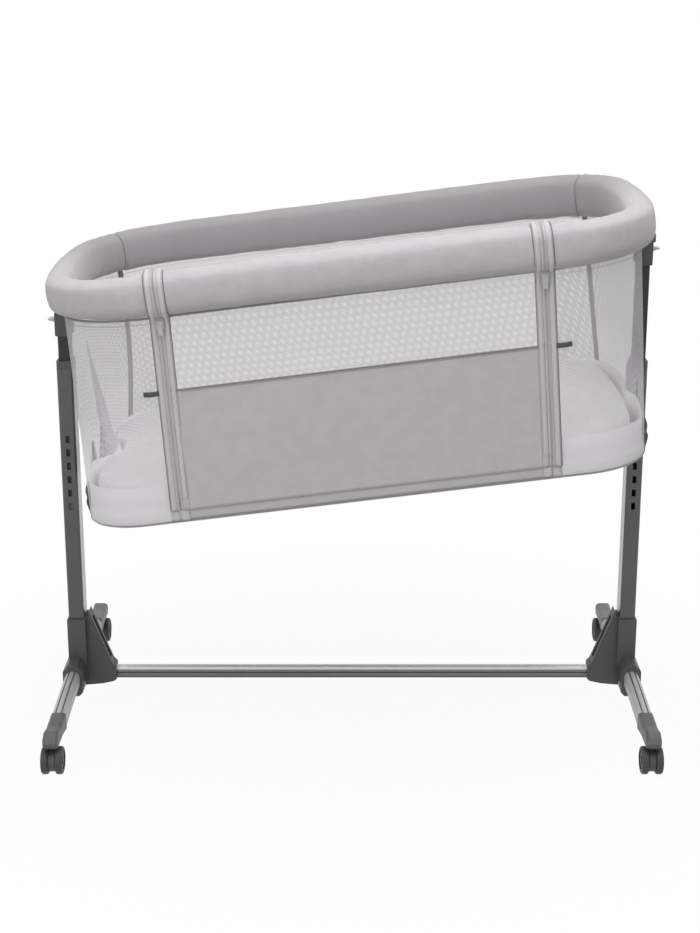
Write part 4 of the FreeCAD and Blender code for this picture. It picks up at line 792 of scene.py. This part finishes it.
def walls():
    """Nets, the front's panel, and the narrow bindings along their edges."""
    def zip_edge(side, way):
        """Beside a zip, and further off below the fold, where the sliders swing past."""
        return lambda depth: zip_line(depth, side, way * (0.004 + 0.010 * ease(depth, *SLIDER_PATH)))

    def seam_edge(side):
        return lambda depth: seam_line(depth, side)

    spans = {"back": (seam_edge(RIGHT), seam_edge(LEFT), REAR, REAR),
             "right": (zip_edge(RIGHT, 1), seam_edge(RIGHT), FRONT, REAR),
             "left": (seam_edge(LEFT), zip_edge(LEFT, 1), REAR, FRONT)}
    front_span = (zip_edge(LEFT, -1), zip_edge(RIGHT, -1), FRONT, FRONT)
    top, seam = WALL_TOP_DEPTH - 0.004, WALL_TOP_DEPTH - 0.0006
    depths = np.linspace(top, SKIRT_DEPTH + 0.0006, 46)
    hem = join("basket_bindings", [
        *(band(f"{name}_binding", seam, 0.0030, span, 0.0012) for name, span in spans.items()),
        seam_tape(LEFT), seam_tape(RIGHT)])
    fit(hem, "basket", "binding_tape")
    for name, columns, finish, billow, trims in (
            ("back", 90, NET, 0.003, [hem]), ("right", 110, END_NET_WITH_PAINTED_LIGHT, 0.0, ()),
            ("left", 110, END_NET_WITH_PAINTED_LIGHT, 0.0, ())):
        net, size = wall(f"{name}_net", *spans[name], depths, columns, finish, billow)
        fit(net, "basket", "mesh_fabric", f"{name}_mesh_wall", flat=size, trims=trims)
    hem = join("drop_side_bindings", [
        band("rail_binding", seam, 0.0030, front_span, 0.0012),
        band("panel_binding", PANEL_TOP_DEPTH, 0.0022, front_span, 0.0010)])
    fit(hem, "drop_side", "binding_tape")
    depths = np.linspace(top, PANEL_TOP_DEPTH + 0.002, 22)
    window, size = wall("front_net", *front_span, depths, 90, NET, 0.002)
    fit(window, "drop_side", "mesh_fabric", "front_mesh_window", flat=size, trims=[hem])
    depths = np.linspace(PANEL_TOP_DEPTH, WALL_FOOT_DEPTH - 0.0008, 44)
    panel, size = wall("front_panel", *front_span, depths, 110, PANEL_CLOTH, -0.0006)
    modified(panel, "SOLIDIFY", thickness=0.0016, offset=0)
    fit(panel, "drop_side", "panel_fabric", "front_fabric_panel", flat=size)


# ---- floor and mattress


def foot_ring(depth, inset, front=None):
    """A closed line round the basket's foot, set in from the wall, or by front between the zips."""
    line, _ = stretch_of(wall_loop(depth), 0.0, 0.0001, REAR, REAR, FOOT_COLUMNS + 1)
    line = line[:-1]
    sets = np.full(len(line), inset)
    if front is not None:
        near = np.clip((ZIP_X + 0.002 - np.abs(line[:, 0] + FLOOR_SWAY)) / 0.006, 0, 1)
        sets += (front - inset) * near * (line[:, 1] < 0)
    return line - sideways(line, loop=True) * sets[:, None]


def floor_tray():
    """The fabric under the basket: a side as deep as the tray, turned under and drawn flat."""
    levels = [(0.2780, 0.0034), (0.3020, 0.0034), (0.3160, 0.0032), (0.3180, 0.0012), (0.3225, 0.0010),
              (0.3265, 0.0010), (0.3300, 0.0011), (SKIRT_DEPTH, 0.0018), (0.3342, 0.0036),
              (0.3351, 0.0062), (TRAY_DEPTH, 0.0105)]
    rings, cloth = [], []
    for depth, inset in levels:
        line = foot_ring(depth, inset, 0.0008 if SLIDER_PATH[0] < depth < SKIRT_DEPTH else None)
        rings.append(lowered(line, depth))
        cloth.append(lowered(np.linspace(0, FOOT_ROUND, FOOT_COLUMNS), depth))
    middle = line.mean(axis=0)
    for share in (0.94, 0.86, 0.72, 0.54, 0.34, 0.14, 0.0):
        inner = middle + (line - middle) * share
        rings.append(lowered(inner, TRAY_DEPTH + 0.0008 * (1 - share)))
        cloth.append(inner)
    faces = grid_faces(len(rings), FOOT_COLUMNS, round_columns=True, flip=True)
    tray = make_object("floor_tray", in_basket(rings), faces, PANEL_CLOTH, np.concatenate(cloth))
    tray.data.materials.append(LINING)
    tray.data.materials.append(BASE_CLOTH)
    panel, lining, base = range(3)
    for face in tray.data.polygons:
        x, y, z = in_level(face.center)[0]
        between = y < 0 and abs(x + FLOOR_SWAY) < ZIP_X
        below = -z > SLIDER_PATH[0]
        face.material_index = base if -z > TRAY_UNDERSIDE else panel if between and below else lining
    area = sum(face.area for face in tray.data.polygons)
    modified(tray, "SOLIDIFY", thickness=0.0012, offset=-1)
    foot = foot_ring(SKIRT_DEPTH + 0.0008, 0.0008)
    outward = lowered(sideways(foot, loop=True))
    edge = drawn("base_binding", lowered(foot, SKIRT_DEPTH + 0.0009), outward, round_section(0.0010),
                 BINDING, loop=True)
    cord = drawn("base_piping", lowered(foot_ring(0.3350, 0.0036), 0.3354), outward,
                 round_section(0.0013), PIPING, loop=True)
    trim = fit(join("floor_trims", [edge, cord]), "basket", "binding_tape")
    fit(tray, "basket", "panel_fabric", "floor_cover", flat=(0.58, 0.98), area=min(area, 0.5684),
        rests_on="floor_frame_tube", trims=[trim])


def end_x(depth, y, side):
    """How far out the end wall stands at a place across it."""
    loop = wall_loop(depth)
    near = loop[(loop[:, 0] * side > 0.2) & (np.abs(loop[:, 1]) < 0.2)]
    near = near[np.argsort(near[:, 1])]
    return float(np.interp(y, near[:, 1], near[:, 0]))


def upright_dark_edge(side, sy):
    """The dark edge that runs up beside a leg, thin at its top."""
    depths = np.linspace(0.250, 0.324, 20)
    spine = [(end_x(d, sy * 0.050, side), sy * 0.046, -d) for d in depths]
    profile = [(-0.009, -0.001), (-0.0075, 0.006), (-0.004, 0.0110), (0.002, 0.0122), (0.0065, 0.008),
               (0.009, -0.001)]
    return drawn(f"guard_{side}_{sy}", spine, [(side, 0, 0)] * len(depths), profile, BASE_CLOTH,
                 heights=np.clip((depths - depths[0]) / 0.045, 0.03, 1))


def level_dark_edge(side, sy, depth, tall, proud):
    """A dark edge along the foot, from beside a leg to where it fades out at the corner."""
    near, far = 0.044, 0.172
    line = np.array([(end_x(depth, sy * y, side), sy * y) for y in np.linspace(near, far, 34)])
    if side * sy > 0:
        line = line[::-1]
    normal = sideways(line)
    normal *= np.sign(normal[:, :1] * side)
    fade = np.clip((far - np.abs(line[:, 1])) / 0.07, 0.02, 1)
    profile = [(-tall, -0.0012), (-tall * 0.9, proud * 0.5), (-tall * 0.5, proud * 0.9), (0, proud),
               (tall * 0.5, proud * 0.92), (tall * 0.9, proud * 0.55), (tall, -0.0012)]
    return drawn(f"guard_{side}_{sy}_{depth}", lowered(line, depth), lowered(normal), profile,
                 BASE_CLOTH, heights=ease(fade, 0, 1))


def leg_guards():
    """Dark edges round the place at each end where a leg stands against the basket."""
    parts = []
    for side in (LEFT, RIGHT):
        for sy in (FRONT, REAR):
            parts += [upright_dark_edge(side, sy), level_dark_edge(side, sy, 0.3105, 0.009, 0.0085),
                      level_dark_edge(side, sy, 0.3275, 0.007, 0.0095)]
    fit(join("leg_guards", parts), "basket", "strap_webbing")


def puffed(piece, voxel, pressure, most, foot):
    """Swells a closed form as stuffed cloth, no further than the room that it has."""
    modified(piece, "REMESH", mode="VOXEL", voxel_size=voxel)
    before = after = places_of(piece.data)
    modifier = piece.modifiers.new("cloth", "CLOTH")
    modifier.settings.use_pressure = True
    modifier.settings.uniform_pressure_force = pressure
    modifier.settings.quality = 5
    modifier.settings.effector_weights.gravity = 0
    scene = bpy.context.scene
    for step in range(1, 21):
        scene.frame_set(step)
    graph = bpy.context.evaluated_depsgraph_get()
    after = places_of(piece.evaluated_get(graph).to_mesh())
    piece.modifiers.clear()
    scene.frame_set(1)
    shift = after - before
    far = np.linalg.norm(shift, axis=1)[:, None]
    level = in_level(before + shift * np.minimum(1, most / np.maximum(far, 1e-9)))
    level[:, 2] = np.maximum(level[:, 2], foot)
    set_level_places(piece.data, level)


def mattress():
    """A stuffed pad that fills the basket, with a pulled-in seam round its top and its foot."""
    thick = MATTRESS_FOOT - MATTRESS_TOP
    levels = [(0.008, 0.001), (0.003, 0.004), (0.003, thick - 0.004), (0.008, thick - 0.001),
              *((inset, thick + share * MATTRESS_CROWN)
                for inset, share in ((0.030, 0.25), (0.058, 0.6), (0.088, 0.85)))]
    rings = []
    for inset, lift in levels:
        depth = MATTRESS_FOOT - lift
        loop = outline(MATTRESS, inset, -FLOOR_SWAY)
        rings.append(lowered(recessed(loop, depth, MATTRESS_GAP)[:-1], depth))
    count = len(rings[0])
    points = np.concatenate([*rings, [(-FLOOR_SWAY, 0, 0.0006 - MATTRESS_FOOT),
                                      (-FLOOR_SWAY, 0, MATTRESS_CROWN - MATTRESS_TOP)]])
    faces = grid_faces(len(rings), count, round_columns=True)
    low, high, top = len(points) - 2, len(points) - 1, (len(rings) - 1) * count
    for c in range(count):
        d = (c + 1) % count
        faces += [(low, d, c), (high, top + c, top + d)]
    piece = make_object("mattress_cover", in_basket(points), faces, JERSEY)
    puffed(piece, 0.006, 4.0, 0.004, 0.0004 - MATTRESS_FOOT)
    modified(piece, "SUBSURF", levels=1, render_levels=1)
    level = in_level(places_of(piece.data))
    edge = np.maximum(np.abs(level[:, 0] + FLOOR_SWAY) / MATTRESS["half_length"],
                      np.abs(level[:, 1]) / MATTRESS["half_width"])
    for seam in (-MATTRESS_TOP - 0.0045, -MATTRESS_FOOT + 0.0055):
        pull = 0.0016 * np.exp(-(((level[:, 2] - seam) / 0.0022) ** 2)) * np.clip((edge - 0.90) / 0.05, 0, 1)
        reach = np.linalg.norm(level[:, :2], axis=1)[:, None]
        level[:, :2] -= level[:, :2] / np.maximum(reach, 1e-6) * pull[:, None]
    set_level_places(piece.data, level)
    smoothed(piece.data)
    if not piece.data.materials:
        piece.data.materials.append(JERSEY)
    fit(piece, "basket", "mattress_fabric", "mattress", pad=0.8)


# ---- zips and loops


def zip_path(foot):
    """The zip's way in a plane across the rim: over it, down its face and down the wall."""
    inner_y, half_height = -RIM["half_width"], PADDING_HEIGHT / 2
    centre_y, centre_z = inner_y - PADDING_WIDTH / 2 + PADDING_ROUND, half_height - PADDING_ROUND
    points = [(inner_y + 0.014 - 0.004 * k, half_height, 0.0, 1.0) for k in range(4)]
    for z, start, stop, count in ((centre_z, 90, 180, 12), (-centre_z, 180, 250, 10)):
        for turn in np.radians(np.linspace(start, stop, count)):
            c, s = math.cos(turn), math.sin(turn)
            points.append((centre_y + PADDING_ROUND * c, z + PADDING_ROUND * s, c, s))
    top, low = -WALL_TOP["half_width"], -WALL_FOOT["half_width"]
    for depth in np.linspace(WALL_TOP_DEPTH + 0.003, foot, 70):
        points.append((top + (low - top) * wall_share(depth), -depth, -1.0, 0.0))
    rows = np.array(points)
    for _ in range(2):
        rows[1:-1] = (rows[:-2] + 2 * rows[1:-1] + rows[2:]) / 4
    rows[:, 2:] /= np.linalg.norm(rows[:, 2:], axis=1)[:, None]
    return rows


def zip_spine(side, off, foot, head=0, lift=0.0):
    """The zip's path at a distance beside its middle, with its outward directions."""
    rows = zip_path(foot)[head:]
    spine = [(zip_line(-z, side) + off, y + ny * lift, z + nz * lift) for y, z, ny, nz in rows]
    return np.array(spine), np.array([(0.0, ny, nz) for _, _, ny, nz in rows])


def zips():
    """Two zips: a ridged tape on each side of the gap, teeth, edge cords and stitches."""
    tooth = small_form("tooth", (0.0034, 0.0016, 0.0014), 0.0003)
    stitch = small_form("stitch", (0.0005, 0.0024, 0.0005), 0.00015)
    ridge = [(ZIP_GAP, 0.0), (ZIP_GAP, 0.0013), (0.0016, 0.0018), (0.0030, 0.0017), (0.0038, 0.0009),
             (0.0052, 0.0007), (0.0062, 0.0016), (0.0078, 0.0025), (0.0096, 0.0027), (0.0114, 0.0022),
             (0.0126, 0.0011), (TAPE_REACH, 0.0003), (TAPE_REACH, 0.0)]
    foot = WALL_FOOT_DEPTH - 0.0012
    for body, way in (("basket", 1), ("drop_side", -1)):
        folds = body == "drop_side"
        # Where the drop side folds, its tape lies flat, and its teeth and stitches stop above.
        late, short = (0.0016, ZIP_FLAT_DEPTH + 0.003) if folds else (0.0, foot)
        tapes, teeth, sewing = [], [], []
        for side in (LEFT, RIGHT):
            beside = side * way
            spine, outward = zip_spine(side, 0.0, foot)
            turned = [(-beside * a, h) for a, h in ridge]
            heights = 1 - 0.9 * folds * ease(-spine[:, 2], ZIP_FLAT_DEPTH, ZIP_FLAT_DEPTH + 0.007)
            tapes.append(drawn(f"tape_{body}_{side}", spine, outward, turned, TAPE, heights))
            spine, outward = zip_spine(side, beside * (TAPE_REACH + 0.0004), foot, head=2, lift=0.0004)
            tapes.append(drawn(f"edge_{body}_{side}", spine, outward, round_section(0.0005, 6), SEAM_THREAD))
            rows = zip_spine(side, beside * 0.0011, short, head=1, lift=0.0014)
            teeth.append(row_along(f"teeth_{side}", *rows, 0.0032, tooth, ZIP_COIL, late))
            for off, lift in ((0.0046, 0.0010), (0.0121, 0.0019)):
                rows = zip_spine(side, beside * off, short, head=2, lift=lift)
                sewing.append(row_along(f"sewing_{side}", *rows, 0.0038, stitch, SEAM_THREAD))
        if not folds:
            tapes += flat_tapes()
        fit(join(f"{body}_zip", tapes), body, "binding_tape", f"{body}_zip_tapes")
        fit(join(f"{body}_zip_teeth", teeth), body, "zip_metal")
        fit(join(f"{body}_zip_sewing", sewing), body, "binding_tape")
    panel_sewing(stitch)
    for item in (tooth, stitch):
        bpy.data.objects.remove(item)


def flat_tapes():
    """The ends of the zips' tapes, flat over the skirt below the fold."""
    depths = np.linspace(WALL_FOOT_DEPTH + 0.0002, SKIRT_DEPTH, 6)
    band_edge = [(ZIP_GAP, 0), (ZIP_GAP, 0.0005), (0.0060, 0.0006), (TAPE_REACH, 0.0005), (TAPE_REACH, 0)]
    made = []
    for side in (LEFT, RIGHT):
        spine = [(zip_line(d, side), -WALL_FOOT["half_width"] + 0.0006, -d) for d in depths]
        for way in (-1, 1):
            made.append(drawn(f"tape_foot_{side}_{way}", spine, [(0, -1, 0)] * len(depths),
                              [(way * a, h) for a, h in band_edge], TAPE))
    return made


def panel_sewing(stitch):
    """Stitch rows along the top of the panel and under the rim."""
    under_rim = 0.0392
    rows = {"drop_side": [(PANEL_TOP_DEPTH + 0.0035, 0.016 - ZIP_X, ZIP_X - 0.016, FRONT, FRONT)],
            "basket": [(under_rim, 0.02 - SEAM_X, -ZIP_X - 0.016, REAR, FRONT),
                       (under_rim, ZIP_X + 0.016, SEAM_X - 0.02, FRONT, REAR),
                       (under_rim, SEAM_X, -SEAM_X, REAR, REAR)]}
    for body, lines in rows.items():
        made = []
        for depth, *stretch in lines:
            line, _ = stretch_of(wall_loop(depth), *stretch, 160)
            out = sideways(line)
            made.append(row_along("row", lowered(line + out * 0.0011, depth), lowered(out), 0.0036,
                                  stitch, SEAM_THREAD))
        fit(join(f"{body}_sewing", made), body, "binding_tape")


def strap_loops():
    """A short loop of webbing beside each zip, tacked down at both ends."""
    depth, count = 0.140, 21
    flat = [(-0.0036, 0.0), (-0.0036, 0.0009), (-0.0030, 0.0013), (0.0030, 0.0013), (0.0036, 0.0009),
            (0.0036, 0.0)]
    free = np.clip((np.linspace(0, 1, count) - 0.16) / 0.68, 0, 1)
    rise = 0.0005 + 0.0030 * np.clip(np.sin(np.pi * free), 0, 1) ** 0.6
    made = []
    for side in (LEFT, RIGHT):
        ends = sorted(zip_line(depth, side, gap) for gap in (0.0105, 0.0345))
        line, _ = stretch_of(wall_loop(depth), *ends, FRONT, FRONT, count)
        out = sideways(line)
        made.append(drawn(f"loop_{side}", lowered(line + out * rise[:, None], depth), lowered(out), flat,
                          STRAP))
    fit(join("webbing_loops", made), "basket", "strap_webbing", "strap_loops")


# ---- stage, camera and light


def studio_light():
    """A white world that lights the object less than it shows, and two soft lamps."""
    world = bpy.data.worlds.new("studio")
    bpy.context.scene.world = world
    sky = Tree(world)
    light, white = (sky.node("ShaderNodeBackground", {}, {"Color": (1, 1, 1, 1), "Strength": strength})
                    for strength in (0.42, 1.0))
    sky.shown(sky.mixed(sky.seen_directly(), light, white), "World")
    for name, where, power in (("overhead_softbox", (0.2, -0.7, 3.2), 60),
                               ("front_softbox", (-2.2, -2.8, 1.8), 26)):
        data = bpy.data.lights.new(name, "AREA")
        data.shape, data.size, data.energy = "DISK", 2.4, power
        lamp = linked(name, data)
        lamp.location = where
        lamp.rotation_euler = (Vector((0, 0, 0.5)) - Vector(where)).to_track_quat("-Z", "Y").to_euler()


def studio_floor():
    """A floor that keeps the object's shadow near it and turns white further off."""
    f = Finish("studio_floor")
    across, along, _ = f.split(f.place())
    away = (across * across + along * along).math("SQRT")
    whiteness = f.spread(away, 0.3, 1.2, 0.955, 1.0)
    grain = f.noise(f.place(), 30, 2, 0.5)
    matt = f.surface(base_color=f.blend(grain, (0.59, 0.59, 0.59, 1), (0.61, 0.61, 0.61, 1)), roughness=0.9)
    white = f.node("ShaderNodeEmission", {}, {"Strength": 1.0})
    f.shown(f.mixed(f.seen_directly() * whiteness, matt, white))
    corners = [(STUDIO_REACH * x, STUDIO_REACH * y, 0) for x, y in ((-1, -1), (1, -1), (1, 1), (-1, 1))]
    make_object("floor", corners, [(0, 1, 2, 3)], f.material)


def camera():
    """The photo's view: its focal length as a share of the picture's height, place and pitch."""
    data = bpy.data.cameras.new("camera")
    data.sensor_width = 36.0
    data.lens = 1722 / 933 * data.sensor_width
    data.clip_start, data.clip_end = 0.05, 100
    made = linked("camera", data)
    made.rotation_mode = "XYZ"
    made.location = (-0.0031, -2.616, 1.175)
    made.rotation_euler = (math.radians(90 - 16.44), 0, 0)
    bpy.context.scene.camera = made
    bpy.context.scene.view_settings.view_transform = "Standard"


# ---- what is shown


# By the ends of the solids' names. What isn't listed is plain steel.
CAD_FINISHES = {
    "outer_leg": LEG_PAINT, "inner_leg": INNER_PAINT_AND_SLOT_SHADE, "hub": HUB_PLASTIC, "leg_collars": HUB_PLASTIC,
    "cross_bar": BAR_METAL, "foot_tube": FOOT_METAL, "leg_head": HEAD_PLASTIC,
    "guide_plug": HEAD_PLASTIC, "rail_sockets": HEAD_PLASTIC, "lock_catch": HEAD_PLASTIC,
    "release_lever": LEVER_PLASTIC, "floor_board": BOARD, "zip_slider": SLIDER_METAL,
    "zip_pull": SLIDER_METAL, "caster_wheels": WHEEL_PLASTIC, "caster_fork": FORK_PLASTIC,
    "end_cap": CAP_PLASTIC,
}


def dress_solids():
    """Gives every solid that stays in view its own finish."""
    for name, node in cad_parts.items():
        finish = next((f for end, f in CAD_FINISHES.items() if name.endswith(end)), STEEL)
        node.data.materials.clear()
        node.data.materials.append(REAR_CAP_PLASTIC if name.startswith("rear") and finish is CAP_PLASTIC
                                   else finish)


studio_light()
studio_floor()
camera()
dress_solids()
rim()
walls()
floor_tray()
leg_guards()
mattress()
zips()
strap_loops()
